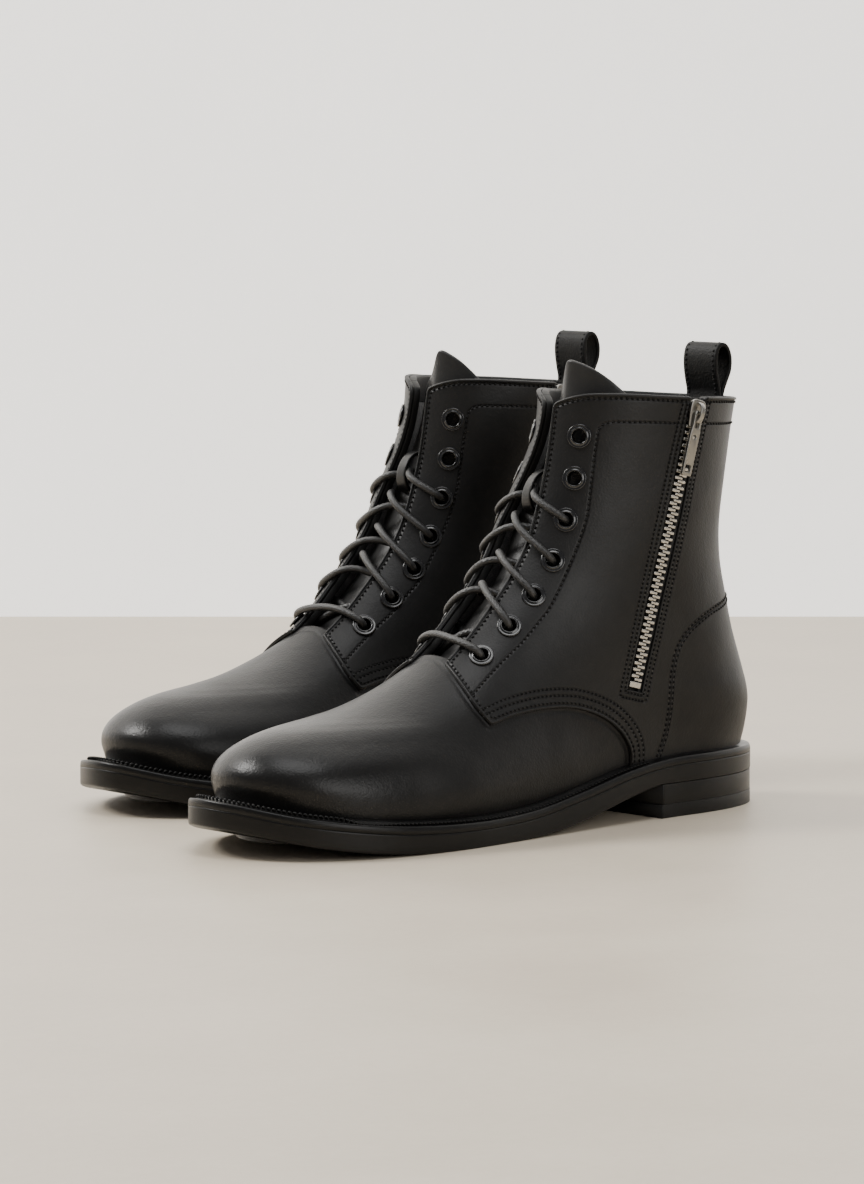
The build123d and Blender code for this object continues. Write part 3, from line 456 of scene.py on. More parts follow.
def clip(F):
    """Cuts the surface grid at F = 0. Returns vertex recipe (A, B, W), faces and border edges."""
    flat = F.ravel()
    keep = flat > 0
    idx = -np.ones(NV * NT, int)
    idx[keep] = np.arange(keep.sum())
    A = list(np.nonzero(keep)[0])
    B = list(A)
    W = [0.0] * len(A)
    I, J = np.meshgrid(np.arange(NV - 1), np.arange(NT), indexing="ij")
    J2 = (J + 1) % NT
    c = np.stack([I * NT + J, I * NT + J2, (I + 1) * NT + J2, (I + 1) * NT + J], -1).reshape(-1, 4)
    k = keep[c].sum(1)
    quads = idx[c[k == 4]]
    extra, border, cache = [], [], {}
    for q in c[(k > 0) & (k < 4)]:
        poly, cross = [], []
        for e in range(4):
            a, b = int(q[e]), int(q[(e + 1) % 4])
            if keep[a]:
                poly.append(int(idx[a]))
                cross.append(0)
            if keep[a] != keep[b]:
                key = (min(a, b), max(a, b))
                if key not in cache:
                    lo, hi = key
                    w = flat[lo] / (flat[lo] - flat[hi])
                    cache[key] = len(A)
                    A.append(lo)
                    B.append(hi)
                    W.append(float(min(max(w, 0.02), 0.98)))
                poly.append(cache[key])
                cross.append(1 if keep[a] else 2)
        n = len(poly)
        for e in range(n):
            if cross[e] == 1 and cross[(e + 1) % n] == 2:
                border.append((poly[e], poly[(e + 1) % n]))
        if n >= 3:
            extra.append(poly)
    return np.array(A), np.array(B), np.array(W), quads, extra, border


def sample(Xg, A, B, W):
    f = Xg.reshape(NV * NT, -1)
    return f[A] * (1 - W[:, None]) + f[B] * W[:, None]


def panel(F, t_out, thick, r, attrs=None, steps=4):
    """A closed sheet of leather over the part of the surface where F > 0, with a rolled edge."""
    A, B, W, quads, extra, border = clip(F - r)
    N = unit(sample(NRM, A, B, W))
    P = sample(BASE, A, B, W)
    G = surf_grad(np.clip(F, -6, 12))
    vals = {k: sample(np.clip(a, -60, 60), A, B, W)[:, 0] for k, a in (attrs or {}).items()}
    n = len(P)
    part = Part()
    faces = quads.tolist() + extra
    # border rings
    bi = sorted({i for e in border for i in e})
    loc = {v: i for i, v in enumerate(bi)}
    bidx = np.array(bi, int)
    b = -unit(sample(G, A, B, W)[bidx])
    b = unit(b - N[bidx] * (b * N[bidx]).sum(1)[:, None])
    # even out the border direction along the loops
    nxt = {loc[a]: loc[c] for a, c in border}
    prv = {c: a for a, c in nxt.items()}
    for _ in range(2):
        bb = b.copy()
        for i in range(len(bi)):
            bb[i] = b[i] * 2 + b[nxt.get(i, i)] + b[prv.get(i, i)]
        b = unit(bb)
    Nb, Pb = N[bidx], P[bidx]
    verts = [P - N * t_out]
    ring_of = [bidx]
    base = n
    for s in range(1, steps + 1):
        th = math.pi / 2 * s / steps
        verts.append(Pb + b * (r * math.sin(th)) - Nb * (t_out + r * (1 - math.cos(th))))
        ring_of.append(np.arange(base, base + len(bi)))
        base += len(bi)
    rb = min(r * 0.6, thick - r)
    verts.append(Pb + b * r - Nb * (t_out + thick - rb))
    ring_of.append(np.arange(base, base + len(bi)))
    base += len(bi)
    verts.append(Pb + b * (r - rb * 0.7) - Nb * (t_out + thick - rb * 0.15))
    ring_of.append(np.arange(base, base + len(bi)))
    base += len(bi)
    verts.append(P - N * (t_out + thick))
    low = base
    ring_of.append(bidx + low)
    base += n
    for a, c in border:
        la, lc = loc[a], loc[c]
        for k in range(len(ring_of) - 1):
            faces.append([int(ring_of[k][lc]), int(ring_of[k][la]),
                          int(ring_of[k + 1][la]), int(ring_of[k + 1][lc])])
    faces += (quads[:, ::-1] + low).tolist() + [[i + low for i in f[::-1]] for f in extra]
    allv = np.vstack(verts)
    part.add(allv, faces, {k: np.concatenate([v] + [v[bidx]] * (len(ring_of) - 2) + [v])
                           for k, v in vals.items()})
    return part


def contour(F, iso, mask=None):
    """Lines on the surface where F = iso, as lists of (position, normal)."""
    f = F.ravel() - iso
    s = f > 0
    I, J = np.meshgrid(np.arange(NV - 1), np.arange(NT), indexing="ij")
    J2 = (J + 1) % NT
    c = np.stack([I * NT + J, I * NT + J2, (I + 1) * NT + J2, (I + 1) * NT + J], -1).reshape(-1, 4)
    k = s[c].sum(1)
    adj = {}
    for q in c[(k > 0) & (k < 4)]:
        keys = []
        for e in range(4):
            a, b = int(q[e]), int(q[(e + 1) % 4])
            if s[a] != s[b]:
                keys.append((min(a, b), max(a, b)))
        if len(keys) == 2:
            adj.setdefault(keys[0], []).append(keys[1])
            adj.setdefault(keys[1], []).append(keys[0])
    m = None if mask is None else mask.ravel()
    pts = {}
    for key in adj:
        a, b = key
        w = f[a] / (f[a] - f[b])
        pts[key] = (a, b, w)
    seen, lines = set(), []
    ends = [key for key in adj if len(adj[key]) == 1] + list(adj)
    for st in ends:
        if st in seen:
            continue
        line, cur = [st], st
        seen.add(st)
        while True:
            nx = [q for q in adj[cur] if q not in seen]
            if not nx:
                break
            cur = nx[0]
            seen.add(cur)
            line.append(cur)
        closed = len(line) > 3 and line[0] in adj[line[-1]]
        if closed:
            line.append(line[0])
        rec = np.array([pts[q] for q in line], float)
        A, B, W = rec[:, 0].astype(int), rec[:, 1].astype(int), rec[:, 2]
        P = sample(BASE, A, B, W)
        N = unit(sample(NRM, A, B, W))
        ok = np.ones(len(P), bool) if m is None else (sample(mask[..., None].astype(float), A, B, W)[:, 0] > 0)
        i = 0
        while i < len(P):
            if not ok[i]:
                i += 1
                continue
            j = i
            while j < len(P) and ok[j]:
                j += 1
            if j - i > 3:
                lines.append((P[i:j], N[i:j]))
            i = j
    return lines


def even(P, N, pitch, smooth=2):
    """Resamples a line on the surface at an even pitch."""
    for _ in range(smooth):
        Q = P.copy()
        Q[1:-1] = (P[:-2] + 2 * P[1:-1] + P[2:]) / 4
        P = Q
    d = arclen(P)
    if d[-1] < pitch * 2:
        return None
    n = max(2, int(round(d[-1] / pitch)))
    s = np.linspace(0, d[-1], n + 1)
    P2 = np.stack([np.interp(s, d, P[:, k]) for k in range(3)], -1)
    N2 = unit(np.stack([np.interp(s, d, N[:, k]) for k in range(3)], -1))
    return P2, N2


def stitches(part, P, N, height, pitch=2.4, rad=0.47, fill=0.62, slant=0.10):
    """Sewn thread along a line on the surface: each stitch rises and dips back in."""
    ev = even(P, N, pitch)
    if ev is None:
        return
    Q, M = ev
    a, b = Q[:-1], Q[1:]
    T = unit(b - a)
    n = unit(M[:-1] + M[1:])
    n = unit(n - T * (n * T).sum(1)[:, None])
    s = np.cross(T, n)
    T2 = unit(T + s * slant)
    s2 = np.cross(T2, n)
    c = (a + b) / 2
    L = np.linalg.norm(b - a, axis=1) * fill / 2
    prof = [(-1.0, -0.55, 0.35), (-0.82, -0.1, 0.85), (-0.4, 0.28, 1.0), (0, 0.36, 1.05),
            (0.4, 0.28, 1.0), (0.82, -0.1, 0.85), (1.0, -0.55, 0.35)]
    m = 6
    rows = []
    for u, h, w in prof:
        for k in range(m):
            an = 2 * math.pi * k / m
            rows.append(c + T2 * (L * u)[:, None] + s2 * (rad * w * math.cos(an))
                        + n * (height + rad * h + rad * w * math.sin(an) * 0.9))
    G = np.stack(rows, 1)
    tmpl = []
    for r in range(len(prof) - 1):
        for k in range(m):
            k2 = (k + 1) % m
            tmpl.append([r * m + k, r * m + k2, (r + 1) * m + k2, (r + 1) * m + k])
    tmpl = np.array(tmpl)
    nv = len(prof) * m
    faces = (tmpl[None] + (np.arange(len(G)) * nv)[:, None, None]).reshape(-1, 4).tolist()
    for i in range(len(G)):
        faces.append([i * nv + k for k in range(m)][::-1])
        faces.append([i * nv + nv - m + k for k in range(m)])
    part.add(G.reshape(-1, 3), faces)


def lathe(part, c, n, prof, seg=48):
    """Turned ring about axis n through c; prof is (radius, height) from the outside in."""
    n = unit(np.asarray(n, float))
    a = unit(np.cross(n, [0.3, 0.2, 0.9]))
    b = np.cross(n, a)
    th = np.linspace(0, 2 * math.pi, seg, endpoint=False)
    ring = np.cos(th)[:, None] * a + np.sin(th)[:, None] * b
    V3 = np.vstack([c + ring * r + n * h for r, h in prof])
    f = []
    m = len(prof)
    for i in range(m):
        i2 = (i + 1) % m
        for k in range(seg):
            k2 = (k + 1) % seg
            f.append([i * seg + k, i * seg + k2, i2 * seg + k2, i2 * seg + k])
    part.add(V3, f)


def frames(P):
    """Rotation minimising frames along a line."""
    T = unit(np.gradient(P, axis=0))
    n = np.cross(T[0], [0.1, 0.2, 1.0])
    n = n / np.linalg.norm(n)
    out = []
    for t in T:
        n = n - t * (n @ t)
        n = n / np.linalg.norm(n)
        out.append(n)
    Nn = np.array(out)
    return T, Nn, np.cross(T, Nn)


def tube(part, P, rad, seg=20, braid=0.0, braid_pitch=5.0, strands=8):
    """Round cord along P, with the over and under of its braid in the surface."""
    T, Nn, Bn = frames(P)
    s = arclen(P)
    th = np.linspace(0, 2 * math.pi, seg, endpoint=False)
    S, TH = np.meshgrid(s, th, indexing="ij")
    R = np.full_like(S, rad)
    if braid:
        a = np.sin(TH * strands / 2 + S * 2 * math.pi / braid_pitch)
        b = np.sin(TH * strands / 2 - S * 2 * math.pi / braid_pitch)
        R = rad * (1 + braid * (np.abs(a) + np.abs(b) - 1.2))
    G = P[:, None] + (np.cos(TH) * R)[..., None] * Nn[:, None] + (np.sin(TH) * R)[..., None] * Bn[:, None]
    n, m = len(P), seg
    f = []
    for i in range(n - 1):
        for k in range(m):
            k2 = (k + 1) % m
            f.append([i * m + k, i * m + k2, (i + 1) * m + k2, (i + 1) * m + k])
    f.append(list(range(m))[::-1])
    f.append([(n - 1) * m + k for k in range(m)])
    part.add(G.reshape(-1, 3), f)


def strip(part, C, half_w, thick, across, nrm, edge=0.5, wfun=None, nw=10):
    """A strap: centre line C, width along `across`, rounded edges. nrm gives the thickness direction."""
    n = len(C)
    prof = []
    for k in range(nw + 1):
        prof.append((-1 + 2 * k / nw, 1))
    ring = [(u, 1.0) for u in np.linspace(-1, 1, nw + 1)]
    pts = []
    r = edge
    for u in np.linspace(-1, 1, nw + 1):
        pts.append((u * (half_w - r), thick / 2))
    for a in (30, 60, 90):
        an = math.radians(a)
        pts.append((half_w - r + r * math.sin(an), thick / 2 - r * (1 - math.cos(an))))
    for a in (0, 30, 60):
        an = math.radians(a)
        pts.append((half_w - r + r * math.cos(an), -thick / 2 + r - r * math.sin(an)))
    for u in np.linspace(1, -1, nw + 1):
        pts.append((u * (half_w - r), -thick / 2))
    for a in (30, 60, 90):
        an = math.radians(a)
        pts.append((-(half_w - r + r * math.sin(an)), -thick / 2 + r * (1 - math.cos(an))))
    for a in (0, 30, 60):
        an = math.radians(a)
        pts.append((-(half_w - r + r * math.cos(an)), thick / 2 - r + r * math.sin(an)))
    pts = np.array(pts)
    m = len(pts)
    ws = np.ones(n) if wfun is None else wfun
    G = C[:, None] + across[:, None] * (pts[None, :, 0] * ws[:, None])[..., None] + nrm[:, None] * pts[None, :, 1][..., None]
    f = []
    for i in range(n - 1):
        for k in range(m):
            k2 = (k + 1) % m
            f.append([i * m + k, (i + 1) * m + k, (i + 1) * m + k2, i * m + k2])
    f.append(list(range(m)))
    f.append([(n - 1) * m + k for k in range(m)][::-1])
    part.add(G.reshape(-1, 3), f)


def bevel(ob, w, seg=3, angle=35):
    m = ob.modifiers.new("edge", "BEVEL")
    m.width = w / 1000
    m.segments = seg
    m.limit_method = "ANGLE"
    m.angle_limit = math.radians(angle)
    m.harden_normals = False
    return ob


def plate(part, loops, O, ax, ay, an, n0, n1, bev=0.25, res=2):
    """A stamped plate with holes and rounded edges; loops are in the ax, ay plane."""
    cu = bpy.data.curves.new("t", "CURVE")
    cu.dimensions = "2D"
    cu.fill_mode = "BOTH"
    cu.extrude = (n1 - n0) / 2 - bev
    cu.bevel_depth = bev
    cu.bevel_resolution = res
    cu.offset = -bev
    for loop in loops:
        sp = cu.splines.new("POLY")
        sp.points.add(len(loop) - 1)
        for p, q in zip(sp.points, loop):
            p.co = (q[0], q[1], 0, 1)
        sp.use_cyclic_u = True
    ob = bpy.data.objects.new("t", cu)
    scene.collection.objects.link(ob)
    dg = bpy.context.evaluated_depsgraph_get()
    me = bpy.data.meshes.new_from_object(ob.evaluated_get(dg))
    v = np.empty(len(me.vertices) * 3, np.float32)
    me.vertices.foreach_get("co", v)
    v = v.reshape(-1, 3).astype(float)
    key, inv = np.unique(np.round(v, 3), axis=0, return_inverse=True)
    inv = inv.ravel()
    faces = []
    for p in me.polygons:
        f = [int(inv[i]) for i in p.vertices]
        f = [a for a, b in zip(f, f[1:] + f[:1]) if a != b]
        if len(f) > 2:
            faces.append(f)
    m = (n0 + n1) / 2
    P = np.asarray(O) + key[:, :1] * ax + key[:, 1:2] * ay + (key[:, 2:] + m) * an
    part.add(P, faces)
    bpy.data.objects.remove(ob)
    bpy.data.curves.remove(cu)
    bpy.data.meshes.remove(me)


def rounded(points, r, n=5):
    """Polygon with rounded corners."""
    p = np.array(points, float)
    out = []
    for i in range(len(p)):
        a, b, c = p[i - 1], p[i], p[(i + 1) % len(p)]
        u, w = unit(a - b), unit(c - b)
        k = min(r, 0.45 * np.linalg.norm(a - b), 0.45 * np.linalg.norm(c - b))
        for t in np.linspace(0, 1, n):
            out.append(tuple((1 - t)**2 * (b + u * k) + 2 * t * (1 - t) * b + t * t * (b + w * k)))
    return out


# --------------------------------------------------------------------- materials
class Nodes:
    def __init__(self, name):
        self.m = bpy.data.materials.new(name)
        self.m.use_nodes = True
        self.t = self.m.node_tree
        self.t.nodes.clear()
        self.out = self.t.nodes.new("ShaderNodeOutputMaterial")
        self.p = self.t.nodes.new("ShaderNodeBsdfPrincipled")
        self.t.links.new(self.p.outputs[0], self.out.inputs[0])
        self.co = self.t.nodes.new("ShaderNodeTexCoord").outputs["Object"]

    def link(self, a, b):
        self.t.links.new(a, b)

    def math(self, op, a, b=None, c=None, clamp=False):
        n = self.t.nodes.new("ShaderNodeMath")
        n.operation = op
        n.use_clamp = clamp
        for i, v in enumerate((a, b, c)):
            if v is None:
                continue
            if isinstance(v, (int, float)):
                n.inputs[i].default_value = v
            else:
                self.link(v, n.inputs[i])
        return n.outputs[0]

    def noise(self, scale, detail=3, rough=0.5, co=None, dist=0.0):
        n = self.t.nodes.new("ShaderNodeTexNoise")
        n.inputs["Scale"].default_value = scale
        n.inputs["Detail"].default_value = detail
        n.inputs["Roughness"].default_value = rough
        n.inputs["Distortion"].default_value = dist
        self.link(co or self.co, n.inputs["Vector"])
        return n.outputs["Fac"]

    def voronoi(self, scale, feature="F1", rand=1.0, co=None):
        n = self.t.nodes.new("ShaderNodeTexVoronoi")
        n.feature = feature
        n.inputs["Scale"].default_value = scale
        n.inputs["Randomness"].default_value = rand
        self.link(co or self.co, n.inputs["Vector"])
        return n.outputs["Distance"]

    def stretch(self, x, y, z):
        n = self.t.nodes.new("ShaderNodeMapping")
        n.inputs["Scale"].default_value = (x, y, z)
        self.link(self.co, n.inputs["Vector"])
        return n.outputs[0]

    def ramp(self, fac, stops):
        n = self.t.nodes.new("ShaderNodeValToRGB")
        e = n.color_ramp.elements
        while len(e) < len(stops):
            e.new(0.5)
        for el, (p, c) in zip(e, stops):
            el.position = p
            el.color = (*c, 1) if len(c) == 3 else c
        self.link(fac, n.inputs[0])
        return n.outputs[0]

    def mix(self, fac, a, b, mode="MIX"):
        n = self.t.nodes.new("ShaderNodeMix")
        n.data_type = "RGBA"
        n.blend_type = mode
        for s, v in ((n.inputs[0], fac), (n.inputs[6], a), (n.inputs[7], b)):
            if isinstance(v, (int, float)):
                s.default_value = v
            elif isinstance(v, tuple):
                s.default_value = (*v, 1)
            else:
                self.link(v, s)
        return n.outputs[2]

    def attr(self, name):
        n = self.t.nodes.new("ShaderNodeAttribute")
        n.attribute_name = name
        return n.outputs["Fac"]

    def dip(self, d, c, w):
        """Bell curve of a distance about c."""
        q = self.math("DIVIDE", self.math("SUBTRACT", d, c), w)
        return self.math("EXPONENT", self.math("MULTIPLY", self.math("MULTIPLY", q, q), -1.0))

    def bump(self, h, dist, strength=1.0, normal=None):
        n = self.t.nodes.new("ShaderNodeBump")
        n.inputs["Strength"].default_value = strength
        n.inputs["Distance"].default_value = dist
        self.link(h, n.inputs["Height"])
        if normal is not None:
            self.link(normal, n.inputs["Normal"])
        return n.outputs[0]

    def split(self, co=None):
        n = self.t.nodes.new("ShaderNodeSeparateXYZ")
        self.link(co or self.co, n.inputs[0])
        return n.outputs

    def done(self, color=None, rough=None, normal=None, **const):
        for sock, v in (("Base Color", color), ("Roughness", rough), ("Normal", normal)):
            if v is None:
                continue
            if isinstance(v, tuple):
                self.p.inputs[sock].default_value = (*v, 1)
            elif isinstance(v, (int, float)):
                self.p.inputs[sock].default_value = v
            else:
                self.link(v, self.p.inputs[sock])
        for k, v in const.items():
            self.p.inputs[k.replace("_", " ")].default_value = v
        return self.m


def leather(name, dark=(0.0042, 0.0041, 0.0041), light=(0.0085, 0.0082, 0.0080), rough=0.46,
            grain=1.0, seams=(), polish=False, wear=0.0, spec=0.30):
    n = Nodes(name)
    cells = n.voronoi(1150, "SMOOTH_F1")
    warp = n.noise(420, 4, 0.6)
    fine = n.noise(3600, 2, 0.6)
    pores = n.voronoi(620, "F1")
    h = n.math("MULTIPLY", cells, 0.55)
    h = n.math("ADD", h, n.math("MULTIPLY", warp, 0.6))
    h = n.math("ADD", h, n.math("MULTIPLY", fine, 0.18))
    h = n.math("SUBTRACT", h, n.math("MULTIPLY", n.math("SUBTRACT", 0.12, pores, clamp=True), 2.2))
    broad = n.noise(26, 3, 0.55)
    nb = n.bump(h, 0.00016 * grain, 0.55)
    nb = n.bump(n.noise(95, 3, 0.5), 0.0007, 0.28, nb)
    col = n.ramp(n.noise(34, 5, 0.6), [(0.30, dark), (0.72, light)])
    ro = n.math("ADD", n.math("MULTIPLY", broad, 0.16), rough - 0.08)
    ro = n.math("ADD", ro, n.math("MULTIPLY", n.noise(900, 2, 0.7), 0.08))
    ro = n.math("ADD", ro, -0.04)
    if polish:
        x = n.split()[0]
        k = n.math("DIVIDE", n.math("SUBTRACT", x, polish), 0.06, clamp=True)
        ro = n.math("SUBTRACT", ro, n.math("MULTIPLY", k, 0.10))
    if seams:
        tot = None
        for a, c, w, amp in seams:
            d = n.math("MULTIPLY", n.dip(n.attr(a), c, w), amp)
            tot = d if tot is None else n.math("ADD", tot, d)
        nb = n.bump(tot, 0.0006, 1.0, nb)
        # painted shade: where the seam bands dip into grooves, the colour is pulled towards near-black (0.0012),
        # standing in for the shadow in the grooves and needle holes
        edge = n.math("MULTIPLY", n.math("MINIMUM", n.math("MULTIPLY", tot, -1.0), 1.0, clamp=True), 0.30)
        col = n.mix(edge, col, (0.0012, 0.0012, 0.0012))
    return n.done(col, ro, nb, Specular_IOR_Level=spec)


M = {}
# Seam bands: (attribute, centre mm, width mm, height); the negative ones are grooves, and the leather shader darkens
# them with painted shade
SEAMS_Q = (("e_top", 0.9, 0.7, 0.35), ("e_top", 2.3, 0.55, -0.5), ("e_seam", 1.8, 0.5, -0.45),
           ("e_seam_a", 5.5, 0.5, -0.5), ("e_seam_a", 8.4, 0.5, -0.5), ("e_inner", 0.0, 0.5, -0.55),
           ("e_zip", 1.3, 0.5, -0.5), ("e_zip", 3.7, 0.5, -0.5), ("e_counter", 1.0, 0.45, -0.45),
           ("e_counter", 0.0, 0.3, -0.5))
M["quarter"] = leather("upper_quarters", grain=1.4, seams=SEAMS_Q)
# the e_under band beside the quarter's lower edge is darkened as painted shade cast by the quarter on the vamp
M["vamp"] = leather("upper_vamp", grain=1.4, polish=0.06, rough=0.42, spec=0.25, seams=(("e_under", 1.2, 1.1, -0.4),))
# the e_counter bands darken the counter's seam grooves with painted shade
M["counter"] = leather("upper_counter", seams=(("e_counter", -1.0, 0.45, -0.45), ("e_counter", 0.0, 0.3, -0.5)))
# painted sheen: the tongue is a lighter copy of the calf, standing in for the sheen on its rounded top
M["tongue"] = leather("tongue_calf", rough=0.36, grain=1.3, dark=(0.012, 0.0118, 0.0115), light=(0.023, 0.0225, 0.022))
M["strap"] = leather("strap_calf", rough=0.52, spec=0.20, grain=2.6, dark=(0.0016, 0.0016, 0.0016), light=(0.0038, 0.0037, 0.0036))
M["collar"] = leather("lining_calf", rough=0.55, grain=0.8)
M["keeper"] = leather("keeper_calf", rough=0.38, grain=1.0, light=(0.011, 0.011, 0.0105))


def textile(name, dark, light, pitch=0.0009, rough=0.85, sheen=0.25, tape=False):
    n = Nodes(name)
    x, y, z = n.split()
    f = 2 * math.pi / pitch
    u = n.math("SINE", n.math("MULTIPLY", n.math("ADD", x, n.math("MULTIPLY", y, 0.6)), f))
    v = n.math("SINE", n.math("MULTIPLY", z, f))
    weave = n.math("ADD", n.math("MULTIPLY", u, v), n.math("MULTIPLY", n.math("ADD", u, v), 0.25))
    fuzz = n.noise(5200, 2, 0.7)
    h = n.math("ADD", n.math("MULTIPLY", weave, 0.5), fuzz)
    nb = n.bump(h, 0.00018, 0.8)
    c = n.ramp(n.math("ADD", n.math("MULTIPLY", weave, 0.22), n.noise(240, 4, 0.6)), [(0.3, dark), (0.8, light)])
    ro = n.math("ADD", n.math("MULTIPLY", fuzz, 0.15), rough - 0.08)
    return n.done(c, ro, nb, Sheen_Weight=sheen, Sheen_Roughness=0.5, Specular_IOR_Level=0.3)


M["lining"] = textile("lining_twill", (0.014, 0.0135, 0.013), (0.034, 0.032, 0.03))
M["tape"] = textile("zip_tape_weave", (0.006, 0.006, 0.006), (0.016, 0.016, 0.016), 0.0007, 0.8, 0.15)


def thread(name, dark=(0.0008, 0.0008, 0.0008), light=(0.0030, 0.0030, 0.0030)):
    n = Nodes(name)
    w = n.noise(2600, 3, 0.7, n.stretch(1, 1, 1.6))
    nb = n.bump(w, 0.00012, 0.7)
    c = n.ramp(w, [(0.3, dark), (0.75, light)])
    ro = n.math("ADD", n.math("MULTIPLY", n.noise(700, 2), 0.2), 0.50)
    return n.done(c, ro, nb, Specular_IOR_Level=0.20)


M["thread"] = thread("waxed_thread")


def cord_mat():
    n = Nodes("waxed_cotton_lace")
    fibre = n.noise(2100, 4, 0.75)
    clump = n.noise(480, 3, 0.6)
    speck = n.voronoi(1500, "F1")
    h = n.math("ADD", fibre, n.math("MULTIPLY", speck, 0.6))
    nb = n.bump(h, 0.0002, 0.75)
    c = n.ramp(n.math("ADD", n.math("MULTIPLY", fibre, 0.6), n.math("MULTIPLY", clump, 0.4)),
               [(0.34, (0.0035, 0.0035, 0.0035)), (0.7, (0.019, 0.0185, 0.018))])
    ro = n.math("ADD", n.math("MULTIPLY", clump, 0.3), 0.24)
    return n.done(c, ro, nb, Specular_IOR_Level=0.58, Sheen_Weight=0.03, Sheen_Roughness=0.4)


M["lace"] = cord_mat()


def metal(name, base, rough, scratch=0.10):
    n = Nodes(name)
    st = n.noise(260, 3, 0.6, n.stretch(1, 1, 0.12))
    bl = n.noise(120, 4, 0.6)
    ro = n.math("ADD", n.math("MULTIPLY", st, scratch), n.math("ADD", n.math("MULTIPLY", bl, 0.10), rough - 0.09))
    c = n.ramp(bl, [(0.3, tuple(b * 0.86 for b in base)), (0.7, base)])
    nb = n.bump(n.noise(1500, 3, 0.6), 0.00004, 0.5)
    return n.done(c, ro, nb, Metallic=1.0)


M["zip"] = metal("nickel_teeth", (0.60, 0.58, 0.54), 0.25)
# painted shade: the slider and puller use a darker copy of the nickel (0.36 against 0.60), standing in for their shadow
M["puller"] = metal("nickel_puller", (0.36, 0.35, 0.325), 0.25, 0.16)
M["steel"] = metal("shank_steel", (0.5, 0.5, 0.5), 0.38)


def enamel():
    n = Nodes("eyelet_enamel")
    b = n.noise(700, 3, 0.6)
    nb = n.bump(b, 0.00003, 0.5)
    ro = n.math("ADD", n.math("MULTIPLY", n.noise(300, 3), 0.12), 0.16)
    c = n.ramp(b, [(0.3, (0.003, 0.003, 0.0032)), (0.8, (0.007, 0.007, 0.0074))])
    return n.done(c, ro, nb, Specular_IOR_Level=0.6, Coat_Weight=0.25, Coat_Roughness=0.12)


M["eyelet"] = enamel()


def rubber(name, dark, light, rough, brush=0.0):
    n = Nodes(name)
    fine = n.noise(1900, 4, 0.65)
    streak = n.noise(300, 3, 0.6, n.stretch(0.25, 0.25, 3.0))
    spots = n.noise(60, 4, 0.6)
    h = n.math("ADD", n.math("MULTIPLY", fine, 0.6), n.math("MULTIPLY", streak, brush))
    nb = n.bump(h, 0.00012, 0.6)
    c = n.ramp(n.math("ADD", n.math("MULTIPLY", spots, 0.6), n.math("MULTIPLY", fine, 0.4)), [(0.32, dark), (0.7, light)])
    ro = n.math("ADD", n.math("MULTIPLY", spots, 0.16), n.math("ADD", n.math("MULTIPLY", fine, 0.08), rough - 0.12))
    return n.done(c, ro, nb, Specular_IOR_Level=0.26)


M["sole"] = rubber("sole_rubber", (0.0010, 0.0010, 0.0010), (0.0028, 0.0027, 0.0026), 0.34, 0.5)
M["lift"] = rubber("lift_rubber", (0.0010, 0.0010, 0.0010), (0.0026, 0.0025, 0.0025), 0.40, 0.2)
M["welt"] = rubber("welt_edge", (0.0016, 0.0016, 0.0016), (0.0036, 0.0035, 0.0034), 0.34, 0.3)


def plain(name, dark, light, scale, rough):
    n = Nodes(name)
    a = n.noise(scale, 5, 0.65)
    b = n.voronoi(scale * 2.2, "F1")
    nb = n.bump(n.math("ADD", a, n.math("MULTIPLY", b, 0.5)), 0.0003, 0.6)
    c = n.ramp(n.math("ADD", n.math("MULTIPLY", a, 0.7), n.math("MULTIPLY", b, 0.3)), [(0.3, dark), (0.7, light)])
    ro = n.math("ADD", n.math("MULTIPLY", a, 0.2), rough - 0.1)
    return n.done(c, ro, nb)


M["cork"] = plain("cork_grain", (0.16, 0.085, 0.04), (0.42, 0.26, 0.14), 420, 0.85)
M["board"] = plain("insole_board", (0.25, 0.17, 0.10), (0.36, 0.26, 0.16), 700, 0.8)
M["stiff"] = plain("stiffener_board", (0.10, 0.09, 0.08), (0.20, 0.18, 0.16), 500, 0.8)
M["footbed"] = leather("footbed_calf", dark=(0.010, 0.0095, 0.009), light=(0.022, 0.02, 0.019), rough=0.6, grain=1.4)


# ------------------------------------------------------------- points on the upper
def scalar_width(x, z, side, t):
    return float(width(np.array([[x, z]], float), side, t)[0])


def front_point(f, y, t):
    p = arc_point(FC, f)
    q = arc_point(FC, f + 0.002) - arc_point(FC, f - 0.002)
    q = q / np.linalg.norm(q)
    n = np.array([-q[1], q[0]])
    s = np.linspace(-6, 45, 800)
    r = p + n * s[:, None]
    w = width(r, 1 if y >= 0 else -1, t)
    i = int(np.argmax(w > abs(y)))
    i = max(i, 1)
    a, b = w[i - 1] - abs(y), w[i] - abs(y)
    k = s[i - 1] + (s[i] - s[i - 1]) * (a / (a - b) if a != b else 0)
    r = p + n * k
    return np.array([r[0], y, r[1]])


def front_frac(c):
    d = ((FC - np.array([c[0], c[2]]))**2).sum(1)
    return arc_frac(FC, FC[int(np.argmin(d))])


def facing_frac(k, side, up):
    a = front_frac(EYE[(k, side)][0])
    b = front_frac(EYE[(k - 1, side)][0]) if k > 1 else a + 0.03
    return a + (b - a) * up


def hole_point(k, side, t):
    c, n = EYE[(k, side)]
    return c - n * (t + 1.4)


LACE_OUT, LACE_IN = -1.4 - 0.9 - 1.6 - 0.6, (3.7 + 7.4) / 2
K_F = arc_frac(FC, FC[int(np.argmin(((FC - np.array((127.5, 153)))**2).sum(1)))]) - 0.026


